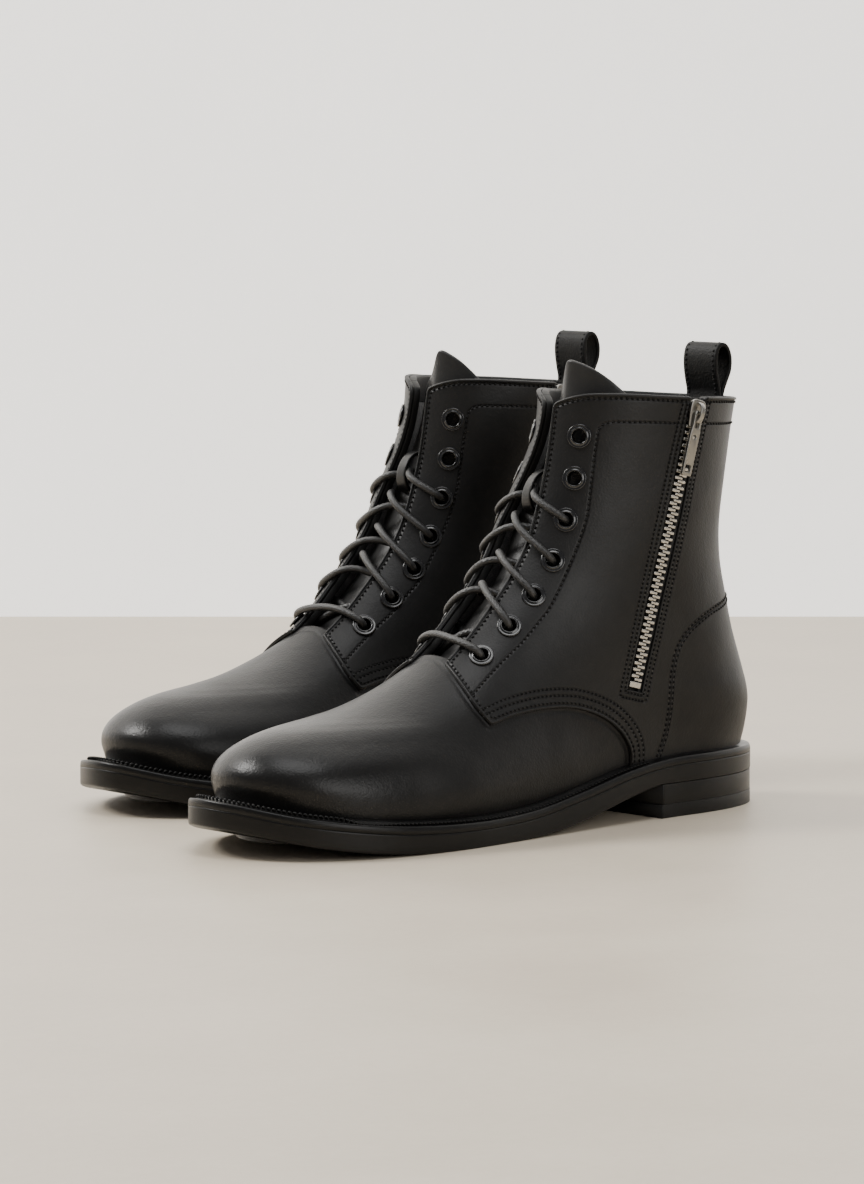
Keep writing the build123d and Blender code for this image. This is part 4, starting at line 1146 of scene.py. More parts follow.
def bezier_path(pts, step=0.45):
    """Smooth line that touches the middle of every run of its route."""
    P = np.array(pts, float)
    mid = (P[1:] + P[:-1]) / 2
    out = [P[:1]]
    prev = P[0]
    for i in range(1, len(P) - 1):
        nxt = mid[i]
        L = np.linalg.norm(P[i] - prev) + np.linalg.norm(nxt - P[i])
        t = np.linspace(0, 1, max(5, int(L / step)), endpoint=False)[:, None]
        out.append((1 - t)**2 * prev + 2 * t * (1 - t) * P[i] + t * t * nxt)
        prev = nxt
    out.append(P[-1:])
    return np.vstack(out)


def lace_half(side, zs):
    """Half of the lace, from the middle of its lowest bar; side is +1 on the zip's side."""
    def front(f, y, t):
        return front_point(f, y * zs, t)

    def hole(k, q, t):
        return hole_point(k, q * zs, t)

    def up(k, q, f):
        return facing_frac(k, q * zs, f)

    s = side
    pts = [front(up(7, s, 0.02), s * 9.0, LACE_OUT), hole(7, s, LACE_OUT), hole(7, s, LACE_IN)]
    pts.append(front(up(7, s, 0.5), 0.0, LACE_IN - (1.8 if s < 0 else -0.6)))
    pts += [hole(6, -s, LACE_IN), hole(6, -s, LACE_OUT)]
    s = -s
    for k in (6, 5, 4):
        if s > 0:
            pts.append(front(up(k, s, 0.46), s * 9.6, LACE_OUT - 0.2))
            pts.append(front(up(k, s, 0.86), s * 1.0, LACE_OUT + 0.9))
            pts.append(front(up(k, s, 0.98), s * -8.5, LACE_IN - 1.2))
        else:
            pts.append(front(up(k, s, 0.26), s * 8.6, LACE_OUT + 0.4))
            pts.append(front(up(k, s, 0.60), s * 0.5, LACE_OUT + 3.9))
            pts.append(front(up(k, s, 0.66), s * -9.5, LACE_IN - 1.0))
        pts += [hole(k - 1, -s, LACE_IN), hole(k - 1, -s, LACE_OUT)]
        s = -s
    off = 0.004 if s > 0 else -0.004
    pts.append(front(up(3, s, 0.34), s * 10.6, LACE_OUT + 0.3))
    pts.append(front(K_F + off, s * 3.0, 7.4 - (4.4 if s > 0 else 2.6)))
    pts.append(front(K_F + off * 1.6, s * -5.5, 7.4 - (3.8 if s > 0 else 2.4)))
    pts.append(front(K_F + off * 1.6 + 0.004, s * -12.5, LACE_IN + 0.1))
    return pts


# ------------------------------------------------------------------------- sole
CL = curve(OUTLINE[-4:] + OUTLINE + OUTLINE[:4], 12)
CL = CL[12 * 4: 12 * (4 + len(OUTLINE))]
for _ in range(6):
    CL = (np.roll(CL, 1, 0) + 2 * CL + np.roll(CL, -1, 0)) / 4
NO = 760
_d = arclen(np.vstack([CL, CL[:1]]))
_s = np.linspace(0, _d[-1], NO, endpoint=False)
OUT2 = np.stack([np.interp(_s, _d, np.r_[CL[:, k], CL[0, k]]) for k in range(2)], -1)
_t = unit(np.roll(OUT2, -1, 0) - np.roll(OUT2, 1, 0))
INN = np.c_[_t[:, 1], -_t[:, 0]]
if ((OUT2 + INN * 5 - np.array([150, 0]))**2).sum() > ((OUT2 - np.array([150, 0]))**2).sum():
    INN = -INN


def tread(x):
    return table(x, [-10, 60] + [p[0] for p in TREAD], [15, 15] + [p[1] for p in TREAD])


def axis_point(P, x0=34.0, x1=262.0):
    return np.c_[np.clip(P[:, 0], x0, x1), 0 * P[:, 0]]


def slab(part, wall, top, bottom, inner=None, ring_step=1.5, depth=None, rise=0.0):
    """A layer of the sole. wall is [(inset, z function)] from the top edge to the bottom edge."""
    rows = []
    for inset, zf in wall:
        q = OUT2 + INN * inset
        rows.append(np.c_[q, zf(q[:, 0])])
    edge_t = OUT2 + INN * wall[0][0]
    edge_b = OUT2 + INN * wall[-1][0]
    if inner is not None:
        qi = OUT2 + INN * inner
        n = 4
        for k in range(1, n + 1):
            q = edge_b + (qi - edge_b) * k / n
            rows.append(np.c_[q, bottom(q[:, 0])])
        tops = []
        n = 14 if rise else n
        for k in range(n, 0, -1):
            q = edge_t + (qi - edge_t) * k / n
            tops.append(np.c_[q, top(q[:, 0]) + rise * float(smooth01((inner * k / n - 1.2) / 3.4))])
        rows += tops
        G = np.array(rows)
        m, f = len(G), []
        for i in range(m):
            i2 = (i + 1) % m
            for k in range(NO):
                k2 = (k + 1) % NO
                f.append([i * NO + k, i * NO + k2, i2 * NO + k2, i2 * NO + k])
        part.add(G.reshape(-1, 3), f)
        return
    cb, ct = axis_point(edge_b), axis_point(edge_t)
    nr = int(46 / ring_step)
    for k in range(1, nr + 1):
        s = k / nr
        q = edge_b + (cb - edge_b) * s
        z = bottom(q[:, 0])
        if depth is not None:
            ins = np.linalg.norm(q - edge_b, axis=1)
            z = np.maximum(z + depth(q, ins), 0.0)
        rows.append(np.c_[q, z])
    nt = 10
    tops = []
    for k in range(nt, 0, -1):
        q = edge_t + (ct - edge_t) * k / nt
        tops.append(np.c_[q, top(q[:, 0])])
    rows += tops
    G = np.array(rows)
    m, f = len(G), []
    nb = len(wall) + nr - 1
    for i in range(m):
        if i == nb:
            continue
        i2 = (i + 1) % m
        for k in range(NO):
            k2 = (k + 1) % NO
            f.append([i * NO + k, i * NO + k2, i2 * NO + k2, i2 * NO + k])
    V3 = G.reshape(-1, 3)
    weld(part, V3, f)


def weld(part, V3, f, tol=3):
    key, inv = np.unique(np.round(V3, tol), axis=0, return_inverse=True)
    inv = inv.ravel()
    faces, seen = [], set()
    for a in f:
        g = [int(inv[i]) for i in a]
        g = [u for u, v in zip(g, g[1:] + g[:1]) if u != v]
        if len(g) > 2 and len(set(g)) == len(g):
            k = tuple(sorted(g))
            if k not in seen:
                seen.add(k)
                faces.append(g)
    part.add(key, faces)


def tread_pattern(q, ins):
    """Shallow ribs across the forefoot, inside a plain rim."""
    x, y = q[:, 0], q[:, 1]
    m = smooth01((ins - 7.5) / 1.2) * smooth01((x - 160) / 2.0) * smooth01((238 - x) / 2.0)
    rib = smooth01((np.cos(2 * math.pi * (x + 0.30 * np.abs(y)) / 8.0) - 0.1) / 0.5)
    return 0.9 * m * rib


# ---------------------------------------------------------------- one whole boot
def make_boot(boot, zs, seed):
    global BASE
    S = (lambda n: f"{boot}_{n}")
    disp = 0.22 * lowfreq(BASE0, 62, seed) + 0.07 * lowfreq(BASE0, 24, seed + 1)
    disp = disp * smooth01((Z - ZT - 1) / 18) * (1 - 0.8 * smooth01((X - 195) / 40))
    BASE = BASE0 + NRM * disp[..., None]
    Zf = zip_frame(zs)
    a, d, o = zip_coords(BASE0, Zf)
    on = SIDE[None] * zs > 0
    L = Zf["L"]
    F_SLIT = np.where(on, np.maximum(np.abs(a) - 4.6, -(d + L + 2.0)), 60.0)
    F_SLIT = np.where(on & (d > 30), 60.0, F_SLIT)
    e = 1.4
    edge = np.minimum(F_TOP, F_THROAT)
    seams = {"e_top": edge, "e_seam": F_SEAM, "e_seam_a": F_SEAM_AN, "e_inner": F_INNER_IN,
             "e_zip": F_SLIT, "e_counter": F_COUNTER}
    rear = U[None, :] + 0 * X < 0.3

    # --- vamp
    F_VAMP = np.minimum(F_BOT, F_UNDER)
    p = panel(F_VAMP, 0.0, 1.6, 0.6, {"e_under": -F_SEAM})
    build("vamp", p, boot, M["vamp"], replaces=["vamp"])

    x0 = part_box(f"{boot}_toe_puff")[0][0] * 1000 + (131.5 if boot == "left" else 173.5)
    p = panel(np.minimum(F_BOT - 1.0, norm_field(X - x0 - 1.0, 0.3)), 1.65, 0.95, 0.3)
    build("toe_puff", p, boot, M["stiff"], replaces=["toe_puff"])

    x0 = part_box(f"{boot}_vamp_lining")[0][0] * 1000 + (131.5 if boot == "left" else 173.5)
    p = panel(np.minimum.reduce([F_BOT - 1.0, F_UNDER - 0.8, norm_field(X - x0 - 0.5, 0.3)]), 2.7, 0.95, 0.3)
    build("vamp_lining", p, boot, M["lining"], replaces=["vamp_lining"])

    # --- quarters
    for sd, nm in ((1, "quarter_lateral"), (-1, "quarter_medial")):
        F_C = norm_field(Y * sd, 0.3)
        F = np.minimum.reduce([F_BOT, F_TOP, F_SEAM, F_THROAT, F_HOLES, F_COUNTER, F_C])
        if sd == zs:
            F = np.minimum(F, F_SLIT)
        p = panel(F, -e, 1.4, 0.55, seams)
        side_ok = (SIDE[None] * sd > 0) & (Z > ZT + 1.0)
        clear_zip = F_SLIT > (6.0 if sd == zs else -1)
        # the folded rim along the top and the facing
        allow = side_ok & (np.abs(Y) > (6.9 if sd else 0)) & (F_SEAM > 1.6) & (F_SLIT > 0.6)
        for P, N in contour(edge, 0.78, allow):
            ev = even(P, N, 0.9, 4)
            if ev is not None and len(ev[0]) > 6:
                tube(p, ev[0] + ev[1] * (e + 0.02), 0.62, 10)
        for P, N in contour(F_SEAM, 0.72, side_ok & (edge > 0.9)):
            ev = even(P, N, 0.9, 3)
            if ev is not None and len(ev[0]) > 6:
                tube(p, ev[0] + ev[1] * (e - 0.08), 0.60, 10)
        build(nm, p, boot, M["quarter"], replaces=[nm])

    # --- counter
    p = panel(np.minimum(F_BOT, -F_COUNTER), -e, 1.4, 0.35, {"e_counter": F_COUNTER})
    build("counter_panel", p, boot, M["counter"], replaces=["counter_panel"])

    p = panel(np.minimum(F_BOT - 1.0, -F_COUNTER - 2.0), 0.05, 1.5, 0.3)
    build("heel_stiffener", p, boot, M["stiff"], replaces=["heel_stiffener"])

    # --- every sewn row on the upper
    t = Part()
    off = np.abs(Y) > 6.6
    base = (Z > ZT + 0.8)

    def row(F, iso, mask, pitch=2.35, h=e, **k):
        for P, N in contour(F, iso, mask):
            stitches(t, P, N, h, pitch, **k)

    zip_ok = F_SLIT > 0.9
    whole = np.minimum(edge, F_SEAM)
    row(whole, 2.3, base & (np.abs(Y) > 7.0) & zip_ok & ~(rear & (np.abs(Y) < 7)), slant=0.45)
    row(F_SEAM_AN, 5.5, base & (F_SEAM_BN > 2.6) & (F_COUNTER > 1), slant=0.1)
    row(F_SEAM_AN, 8.4, base & (F_SEAM_BN > 2.6) & (F_COUNTER > 1), slant=0.1)
    row(F_INNER_IN, 0.0, base & (F_SLIT > 4.0) & off & (F_SEAM_AN > 2.6) & (F_SEAM_BN > 2.6) & (edge > 3), slant=0.4)
    for q in (1.3, 3.7):
        row(F_SLIT, q, on & (F_TOP > 1.2) & (F_SLIT < 8) & (d < 4), 2.0)
    row(F_COUNTER, 1.05, base & (np.abs(Y) > 1.0) & (F_SLIT > 4.4))
    row(F_COUNTER, -1.05, base & (np.abs(Y) > 1.0))
    build("upper_stitching", t, boot, M["thread"])

    # --- backstay
    top_r = F_TOP - 0.0
    F = np.where(U[None, :] + 0 * X < 0.25, np.minimum.reduce([norm_field(6.5 - np.abs(Y), 0.3), norm_field(Z - 91.0), top_r]), -20.0)
    p = panel(F, -2.4, 1.0, 0.42)
    t2 = Part()
    for q in (1.5,):
        for P, N in contour(F, q, (Z > 93) & (F_TOP > 2)):
            stitches(t2, P, N, 2.4, 2.2)
    build("backstay", p, boot, M["strap"], replaces=["backstay"])
    build("backstay_stitching", t2, boot, M["thread"])

    # --- inside: collar facing, lining, zip tape and guard
    zcut = np.where(on, np.abs(a) - 5.6, 60.0)
    loop_cut = np.where(U[None, :] + 0 * X < 0.3, norm_field(np.abs(Y) - 10.9, 0.3), 60.0)
    F = np.minimum.reduce([F_TOP - 0.5, F_THROAT - 0.5, F_HOLES, 13.5 - edge, zcut, F_SEAM_FULL + 6,
                           np.maximum(loop_cut, 0 * X - 60 + (F_TOP > 16) * 120)])
    p = panel(F, 0.05, 3.65, 0.9)
    build("collar_facing", p, boot, M["collar"], replaces=["collar_facing", "interlining"])
    F = np.minimum.reduce([edge - 13.2, F_BOT - 2.5, F_LINFRONT])
    p = panel(F, 2.75, 0.95, 0.3)
    build("lining", p, boot, M["lining"], replaces=["lining"])
    band = np.where(on, np.minimum(9.4 - np.abs(a), d + L + 6.0), -20.0)
    F = np.minimum(np.where(on, np.minimum(7.9 - np.abs(a), d + L + 5.0), -20.0), F_TOP - 1.0)
    p = panel(F, 1.75, 0.8, 0.3)
    build("zip_guard", p, boot, M["collar"], replaces=["zip_guard"])
    F = np.where(on, np.minimum.reduce([np.abs(a) - 3.0, 5.5 - np.abs(a), d + L + 2.4, F_TOP - 0.5]), -20.0)
    p = panel(F, 0.1, 0.7, 0.25)
    build("zip_tape", p, boot, M["tape"], replaces=["zip_tape"])

    # --- tongue
    up = smooth01((Z - 105) / 60)
    Ys = Y * zs
    if boot == "left":
        top = [(62, 150), (41, 176), (38.5, 182), (36, 187), (32, 192.2), (27.5, 196), (22, 199), (16, 200.9), (10, 201.5),
               (6, 200.4), (3, 197.8), (0, 194.2), (-4, 190.2), (-9, 187.6), (-16, 185), (-22, 180), (-60, 150)]
    else:
        top = [(62, 150), (38, 174), (34.5, 181), (31, 186.6), (27.5, 191), (22.5, 195.4), (16.5, 198.6), (10.5, 200.2), (6, 199.8),
               (2.8, 197.8), (0, 194.4), (-4, 190.2), (-9, 187.6), (-16, 185), (-22, 180), (-60, 150)]
    F_EDGE = norm_field(sdist(np.stack([Ys, Z], -1).reshape(-1, 2), curve(top, 10), 1.0).reshape(NV, NT), 0.3)
    F = np.where(front_half, np.minimum.reduce([norm_field(21.0 + 20.0 * up - Ys, 0.3), norm_field(Ys + 21.0 - 1.5 * up, 0.3),
                                                F_TONGUE, F_EDGE]), -20.0)
    p = panel(F, 7.5, 1.9, 0.9)
    build("tongue", p, boot, M["tongue"], replaces=["tongue"])

    make_zip(boot, Zf)
    make_front(boot, seed, zs)
    make_loop(boot)
    make_sole(boot)


def make_zip(boot, Zf):
    hi, dd, out, acr, L = Zf["hi"], Zf["d"], Zf["out"], Zf["acr"], Zf["L"]
    along = -dd                                   # down the zip from its top end
    # one tooth, stamped: a clamp on the tape and a head that meets the other row
    body = [(3.25, -0.62), (3.25, 0.62), (1.5, 0.74), (0.75, 0.46), (-0.35, 0.5), (-0.75, 0.64), (-1.15, 0.42),
            (-1.15, -0.42), (-0.75, -0.64), (-0.35, -0.5), (0.75, -0.46), (1.5, -0.74)]
    unitp = Part()
    z0 = np.zeros(3)
    ex, ey, ez = np.eye(3)
    plate(unitp, [rounded(body, 0.25, 3)], z0, ex, ey, ez, -1.15, 1.15, 0.22, 1)
    V1 = np.vstack(unitp.v)
    F1 = np.array([len(f) for f in unitp.f])
    rng = np.random.default_rng(5)
    p = Part()
    count = int((L - 3) / 2.85)
    for row in (1, -1):
        for i in range(count):
            c = L - 3.0 - i * 2.85 - (1.425 if row < 0 else 0)
            if c < 2.2:
                break
            lift = rng.normal() * 0.03
            O = hi + along * (c + rng.normal() * 0.02) + out * (0.12 + lift)
            Q = O + (V1[:, :1] * row) * acr + V1[:, 1:2] * along + V1[:, 2:] * out
            p.add(Q, unitp.f if row > 0 else [f[::-1] for f in unitp.f])
    # metal stop at the bottom
    plate(p, [rounded([(-3.3, -1.3), (3.3, -1.3), (3.3, 1.3), (-3.3, 1.3)], 0.5)], hi + along * (L - 0.6),
          acr, along, out, -0.9, 1.25, 0.3, 2)
    build("zip_teeth", p, boot, M["zip"], replaces=["zip_teeth"])
    # slider
    p = Part()
    prof = [(-2.4, 0.2), (2.4, 0.2), (4.15, 1.4), (4.3, 4.0), (4.2, 6.2), (3.35, 11.8), (2.6, 12.7),
            (-2.6, 12.7), (-3.35, 11.8), (-4.2, 6.2), (-4.3, 4.0), (-4.15, 1.4)]
    plate(p, [rounded(prof, 1.0, 4)], hi, acr, along, out, 1.45, 2.75, 0.35, 3)
    for row in (1, -1):
        plate(p, [rounded([(row * 3.5, 1.2), (row * 4.25, 1.2), (row * 4.25, 6.0), (row * 3.5, 6.0)], 0.2, 3)], hi,
              acr, along, out, 0.6, 1.7, 0.15, 1)
    arch = []
    for k in range(41):
        an = math.pi * k / 40
        arch.append((6.0 - 4.3 * math.cos(an), 2.5 + 3.35 * math.sin(an)**0.7))
    arch = np.array(arch)
    C = hi + arch[:, :1] * along + arch[:, 1:] * out
    tdir = unit(np.gradient(C, axis=0))
    nrm = unit(np.cross(np.tile(acr, (len(C), 1)), tdir))
    wf = 1.0 + 0.35 * np.abs(np.linspace(-1, 1, 41))**2
    strip(p, C, 1.15, 0.95, np.tile(acr, (len(C), 1)), nrm, 0.3, wf, 4)
    build("zip_slider", p, boot, M["puller"], body=f"{boot}_zip_slider", replaces=["zip_slider"])
    # puller
    p = Part()
    outer = [(-1.5, 5.0), (1.5, 5.0), (2.35, 6.2), (2.3, 12.2), (2.75, 14.6), (2.75, 33.8), (-2.75, 33.8),
             (-2.75, 14.6), (-2.3, 12.2), (-2.35, 6.2)]
    h1 = [(-1.35, 6.7), (1.35, 6.7), (1.3, 12.9), (-1.3, 12.9)]
    h2 = [(0.95 * math.cos(t), 16.6 + 0.95 * math.sin(t)) for t in np.linspace(0, 2 * math.pi, 24, endpoint=False)]
    h3 = [(-1.55, 29.0), (1.55, 29.0), (1.55, 32.2), (-1.55, 32.2)]
    plate(p, [rounded(outer, 0.9, 5), rounded(h1, 0.7, 5), h2, rounded(h3, 0.25, 3)], hi, acr, along, out,
          3.08, 4.32, 0.28, 3)
    build("zip_puller", p, boot, M["puller"], body=f"{boot}_zip_puller", replaces=["zip_puller"])


def make_front(boot, seed, zs):
    # eyelets
    p = Part()
    prof = [(3.0, -4.4), (3.0, 0.35), (3.12, 0.85), (3.38, 1.12), (3.68, 1.08), (4.0, 0.82), (4.45, 0.72),
            (4.8, 0.86), (5.08, 0.86), (5.28, 0.62), (5.34, 0.25), (5.3, -0.1), (3.5, -0.1), (3.5, -4.4)]
    for (k, s), (c, n) in EYE.items():
        lathe(p, c + n * 0.02, n, prof, 56)
    build("eyelets", p, boot, M["eyelet"], replaces=["eyelets"])
    # lace
    route = lace_half(1, zs)[::-1] + lace_half(-1, zs)
    P = bezier_path(route)
    s = arclen(P)
    step = 0.36
    q = np.linspace(0, s[-1], int(s[-1] / step))
    P = np.stack([np.interp(q, s, P[:, k]) for k in range(3)], -1)
    for _ in range(3):
        P[1:-1] = (P[:-2] + 2 * P[1:-1] + P[2:]) / 4
    p = Part()
    tube(p, P, 1.62, 28, 0.085, 4.6, 8)
    build("lace", p, boot, M["lace"], replaces=["lace"])
    # keeper loop
    kp = arc_point(FC, K_F)
    kq = unit(arc_point(FC, K_F + 0.002) - arc_point(FC, K_F - 0.002))
    kn = np.array([kq[1], -kq[0]])
    if kn[0] < 0:
        kn = -kn
    kb = kp - kn * (7.4 + 0.2)
    th = np.linspace(-0.1, math.pi + 0.1, 61)
    al, hh = -9.2 * np.cos(th), 8.4 * np.sign(np.sin(th)) * np.abs(np.sin(th))**0.85
    y0 = 1.5 * zs + zs * 0.9 * np.cos(th)
    C = np.c_[kb[0] + kq[0] * al + kn[0] * hh, y0, kb[1] + kq[1] * al + kn[1] * hh]
    for _ in range(3):
        C[1:-1] = (C[:-2] + 2 * C[1:-1] + C[2:]) / 4
    tdir = unit(np.gradient(C, axis=0))
    acr = np.tile(np.array([0.0, 1.0, 0.0]), (len(C), 1))
    acr = unit(acr - tdir * (acr * tdir).sum(1)[:, None])
    nrm = unit(np.cross(tdir, acr))
    p = Part()
    strip(p, C, 4.3, 1.7, acr, nrm, 0.6, 1 - 0.12 * np.sin(np.clip(th, 0, math.pi)), 6)
    build("lace_keeper", p, boot, M["keeper"], replaces=["lace_keeper"])


def make_loop(boot):
    c = curve([(21.3, 168), (18.5, 184), (16.6, 188.5), (14.1, 194), (13.9, 200), (16.2, 204.6), (18.6, 205.5),
               (21, 204.3), (22.4, 200), (22.3, 194), (21.3, 188.5), (20.4, 184), (23.15, 168)], 10)
    d = arclen(c)
    q = np.linspace(0, d[-1], 140)
    c = np.stack([np.interp(q, d, c[:, k]) for k in range(2)], -1)
    for _ in range(4):
        c[1:-1] = (c[:-2] + 2 * c[1:-1] + c[2:]) / 4
    C = np.c_[c[:, 0], 0 * c[:, 0], c[:, 1]]
    T = unit(np.gradient(C, axis=0))
    acr = np.tile(np.array([0.0, 1, 0]), (len(C), 1))
    nrm = unit(np.cross(T, acr))
    # outwards is away from the middle of the loop
    m = C[40:100].mean(0)
    if ((C[70] - m) @ nrm[70]) < 0:
        nrm = -nrm
    p = Part()
    strip(p, C, 10.5, 1.8, acr, nrm, 0.6, None, 14)
    build("pull_loop", p, boot, M["strap"], replaces=["pull_loop"])
    t = Part()
    for sgn in (1, -1):
        stitches(t, C + acr * (8.6 * sgn), nrm, 0.9, 2.1)
    build("pull_loop_stitching", t, boot, M["thread"])


def make_sole(boot):
    zt = ztop
    # welt: a leather strip, its edge rounded over, its top rising inwards where the seam runs
    p = Part()
    slab(p, [(1.0, lambda x: zt(x)), (0.62, lambda x: zt(x) - 0.12), (0.38, lambda x: zt(x) - 0.45),
             (0.2, lambda x: zt(x) - 0.9), (0.04, lambda x: zt(x) - 1.9), (0.04, lambda x: zt(x) - 3.55)],
         lambda x: zt(x), lambda x: zt(x) - 3.59, inner=16.2, rise=1.7)
    build("welt", p, boot, M["welt"], replaces=["welt"])
    # outsole
    p = Part()

    def heel_flat(x):
        return np.where(x < 80.6, 15.0, tread(x))

    slab(p, [(0.06, lambda x: zt(x) - 3.61), (0.0, lambda x: zt(x) - 3.66), (0.0, lambda x: zt(x) - 4.3),
             (0.0, lambda x: heel_flat(x) + (zt(x) - 4.3 - heel_flat(x)) * 0.5),
             (0.0, lambda x: heel_flat(x) + 0.9), (0.14, lambda x: heel_flat(x) + 0.4), (0.55, lambda x: heel_flat(x))],
         lambda x: zt(x) - 3.62, heel_flat, depth=tread_pattern)
    build("outsole", p, boot, M["sole"], replaces=["outsole"])
    # heel: stack and top lift
    for nm, z0, z1, ins, mat in (("heel_block", 6.03, 14.97, 0.16, "sole"), ("heel_top_lift", 0.0, 5.97, 0.06, "lift")):
        p = Part()
        xb = 79.85 if nm == "heel_block" else 80.3
        heel_layer(p, z0, z1, ins, xb)
        build(nm, p, boot, M[mat], replaces=[nm])
    # seam along the welt
    t = Part()
    fl = table(OUT2[:, 0], FOOT_X, FOOT_LAT) * (OUT2[:, 1] >= 0) + table(OUT2[:, 0], FOOT_X, FOOT_MED) * (OUT2[:, 1] < 0)
    gap = np.clip(np.abs(OUT2[:, 1]) - fl - 1.4, 1.8, 9.0)
    gap = np.where(OUT2[:, 0] > 262, np.minimum(9.5, 4.2 + (OUT2[:, 0] - 262) * 0.16), gap)
    for _ in range(30):
        gap = (np.roll(gap, 1) + 2 * gap + np.roll(gap, -1)) / 4
    ins = np.clip(gap - 1.0, 1.6, 3.9)
    q = OUT2 + INN * ins[:, None]
    P = np.c_[q, zt(q[:, 0]) + 1.7 * smooth01((ins - 1.2) / 3.4)]
    start = int(np.argmax((OUT2[:, 0] > 86) & (OUT2[:, 1] > 0)))
    P = np.roll(P, -start, 0)
    keep = P[:, 0] > 86
    n_end = int(np.argmin(keep)) if not keep.all() else len(P)
    P = P[:n_end]
    stitches(t, P, np.tile([0, 0, 1.0], (len(P), 1)), 0.0, 2.2, 0.60, 0.86, 0.7)
    build("welt_stitching", t, boot, M["thread"], replaces=["welt_stitching"])


def heel_layer(part, z0, z1, ins, xb):
    """One layer of the heel, cut straight at the breast."""
    q = OUT2 + INN * ins
    keep = q[:, 0] < xb
    start = int(np.argmax(~keep))
    q = np.roll(q, -start, 0)
    k = q[:, 0] < xb
    i0 = int(np.argmax(k))
    seg = q[i0:]
    seg = seg[seg[:, 0] < xb]
    a, b = seg[0], seg[-1]
    pa, pb = np.array([xb, a[1]]), np.array([xb, b[1]])
    loop = [tuple(pa)] + [tuple(v) for v in seg[1:-1]] + [tuple(pb)]
    ex, ey, ez = np.eye(3)
    plate(part, [loop], np.zeros(3), ex, ey, ez, z0, z1, 0.14, 2)


BASE0 = BASE.copy()
F_UNDER = side_field([(89.5, -5), (90.5, 33), (96, 42), (105, 49.5), (117, 55.5), (131.5, 59.5), (144.8, 60.8),
                      (158, 60.5), (172, 59), (178, 63), (178, 110)], -1.0)
F_SEAM_AN = norm_field(F_SEAM_A)
F_SEAM_BN = norm_field(F_SEAM_B)
F_SEAM_FULL = F_SEAM
F_INNER_IN = F_INNER
F_TONGUE = side_field([(189, 40), (160, 56), (140, 73), (122, 94), (108, 118), (94, 145), (84, 168), (80, 180),
                       (78, 190), (80, 201), (96, 202.4), (140, 202.4)], -1.0)
F_LINFRONT = norm_field(188.0 - X)
F_HOLES = F_HOLES
make_boot("left", 1, 11)
make_boot("right", -1, 29)

# ----------------------------------------------- CAD pieces that stay, with finishes
KEEP = {"cork_filler": "cork", "shank": "steel", "insole": "board", "footbed": "footbed"}
for b in ("left", "right"):
    for node, key in KEEP.items():
        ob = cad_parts[f"{b}_{node}"]
        for s in ob.material_slots:
            s.material = M[key]
        if not ob.material_slots:
            ob.data.materials.append(M[key])

# ------------------------------------------------------------------------- stage
def stage_mesh(name, verts, faces, mat):
    me = bpy.data.meshes.new(name)
    me.from_pydata(verts, [], faces)
    ob = bpy.data.objects.new(name, me)
    scene.collection.objects.link(ob)
    me.materials.append(mat)
    me.polygons.foreach_set("use_smooth", [True] * len(me.polygons))
    return ob


def floor_mat():
    n = Nodes("pale_floor")
    a = n.noise(9, 5, 0.6)
    b = n.noise(180, 4, 0.7)
    c = n.ramp(n.math("ADD", n.math("MULTIPLY", a, 0.7), n.math("MULTIPLY", b, 0.3)),
               [(0.3, (0.54, 0.465, 0.365)), (0.7, (0.63, 0.555, 0.445))])
    ro = n.math("ADD", n.math("MULTIPLY", a, 0.2), 0.36)
    return n.done(c, ro, n.bump(b, 0.0003, 0.3), Specular_IOR_Level=0.4)


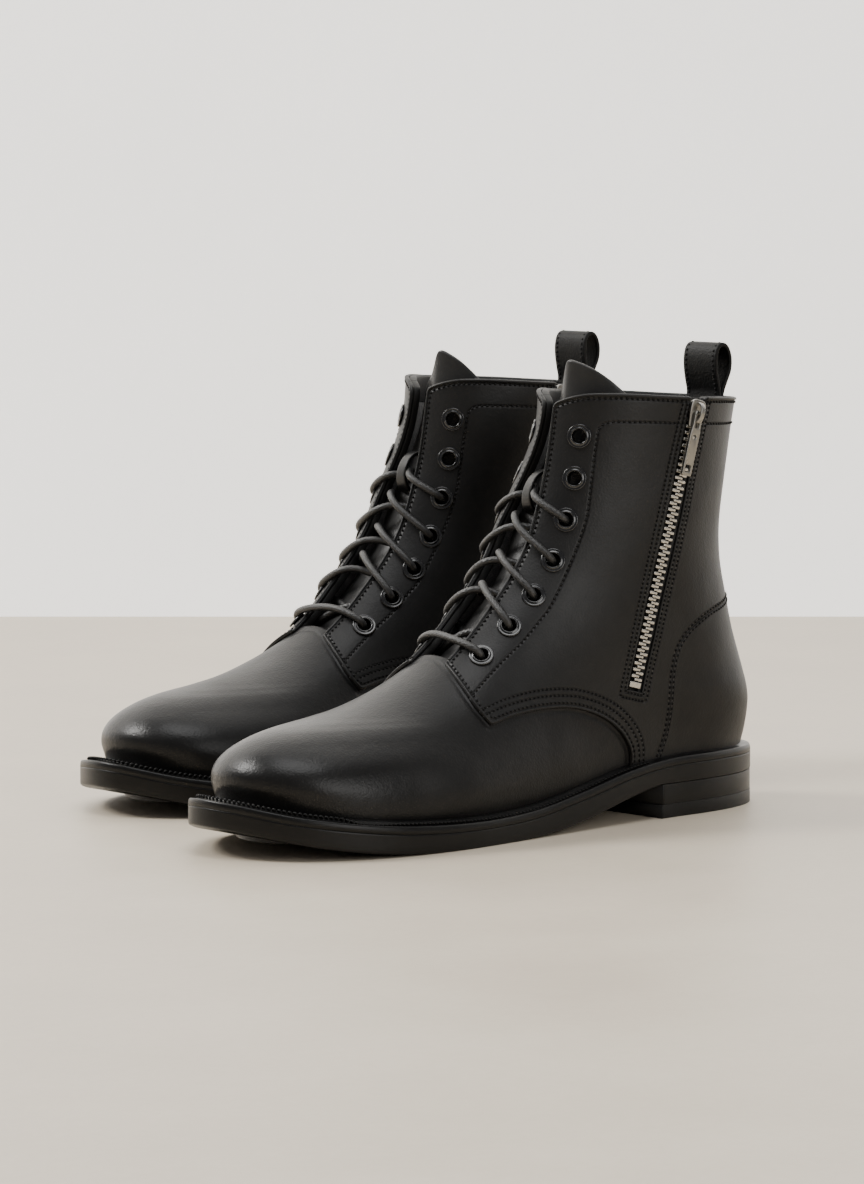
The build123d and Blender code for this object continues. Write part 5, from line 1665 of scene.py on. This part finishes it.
def wall_mat():
    """A pale wall that is only there from the boots' side, so that it hides nothing from behind."""
    n = Nodes("pale_wall")
    a = n.noise(5, 4, 0.6)
    c = n.ramp(a, [(0.3, (0.80, 0.79, 0.765)), (0.7, (0.86, 0.85, 0.83))])
    n.done(c, 0.9, n.bump(n.noise(40, 4, 0.6), 0.002, 0.4), Emission_Color=(1.0, 0.985, 0.955, 1.0), Emission_Strength=1.05)
    clear = n.t.nodes.new("ShaderNodeBsdfTransparent")
    pick = n.t.nodes.new("ShaderNodeMixShader")
    geo = n.t.nodes.new("ShaderNodeNewGeometry")
    n.link(geo.outputs["Backfacing"], pick.inputs[0])
    n.link(n.p.outputs[0], pick.inputs[1])
    n.link(clear.outputs[0], pick.inputs[2])
    n.link(pick.outputs[0], n.out.inputs[0])
    return n.m


cx, cy = cam.location.x, cam.location.y
fwd = np.array([look.x, look.y])
fwd = fwd / np.linalg.norm(fwd)
side_v = np.array([-fwd[1], fwd[0]])


def stage_point(f, s, z):
    q = fwd * f + side_v * s
    return (float(q[0]), float(q[1]), z)


FM, WM = floor_mat(), wall_mat()
stage_mesh("floor", [stage_point(-6, -6, 0), stage_point(-6, 6, 0), stage_point(0.87, 6, 0), stage_point(0.87, -6, 0)],
           [(0, 1, 2, 3)], FM)
stage_mesh("backdrop", [stage_point(0.87, -6, 0), stage_point(0.87, 6, 0), stage_point(0.87, 6, 5), stage_point(0.87, -6, 5)],
           [(3, 2, 1, 0)], WM)


def area(name, loc, target, size, energy, color=(1, 1, 1), sy=None):
    li = bpy.data.lights.new(name, "AREA")
    li.shape = "RECTANGLE"
    li.size, li.size_y = size, sy or size
    li.energy = energy
    li.color = color
    ob = bpy.data.objects.new(name, li)
    ob.location = loc
    ob.rotation_euler = (Vector(target) - Vector(loc)).to_track_quat("-Z", "Y").to_euler()
    scene.collection.objects.link(ob)
    return ob


T0 = (0, 0, 0.1)
area("key", stage_point(0.0, 1.9, 1.75), T0, 0.80, 62, (1, 0.985, 0.96), 0.80)
area("top", stage_point(-0.7, 0.0, 2.6), (0.0, 0.0, 0.0), 1.5, 36, (1, 1, 1), 1.5)
area("side", stage_point(-1.9, -1.5, 0.9), T0, 1.6, 24, (1, 0.985, 0.96), 1.2)
world = bpy.data.worlds.new("studio")
scene.world = world
world.use_nodes = True
world.node_tree.nodes["Background"].inputs[0].default_value = (0.95, 0.96, 1.0, 1)
world.node_tree.nodes["Background"].inputs[1].default_value = 0.22
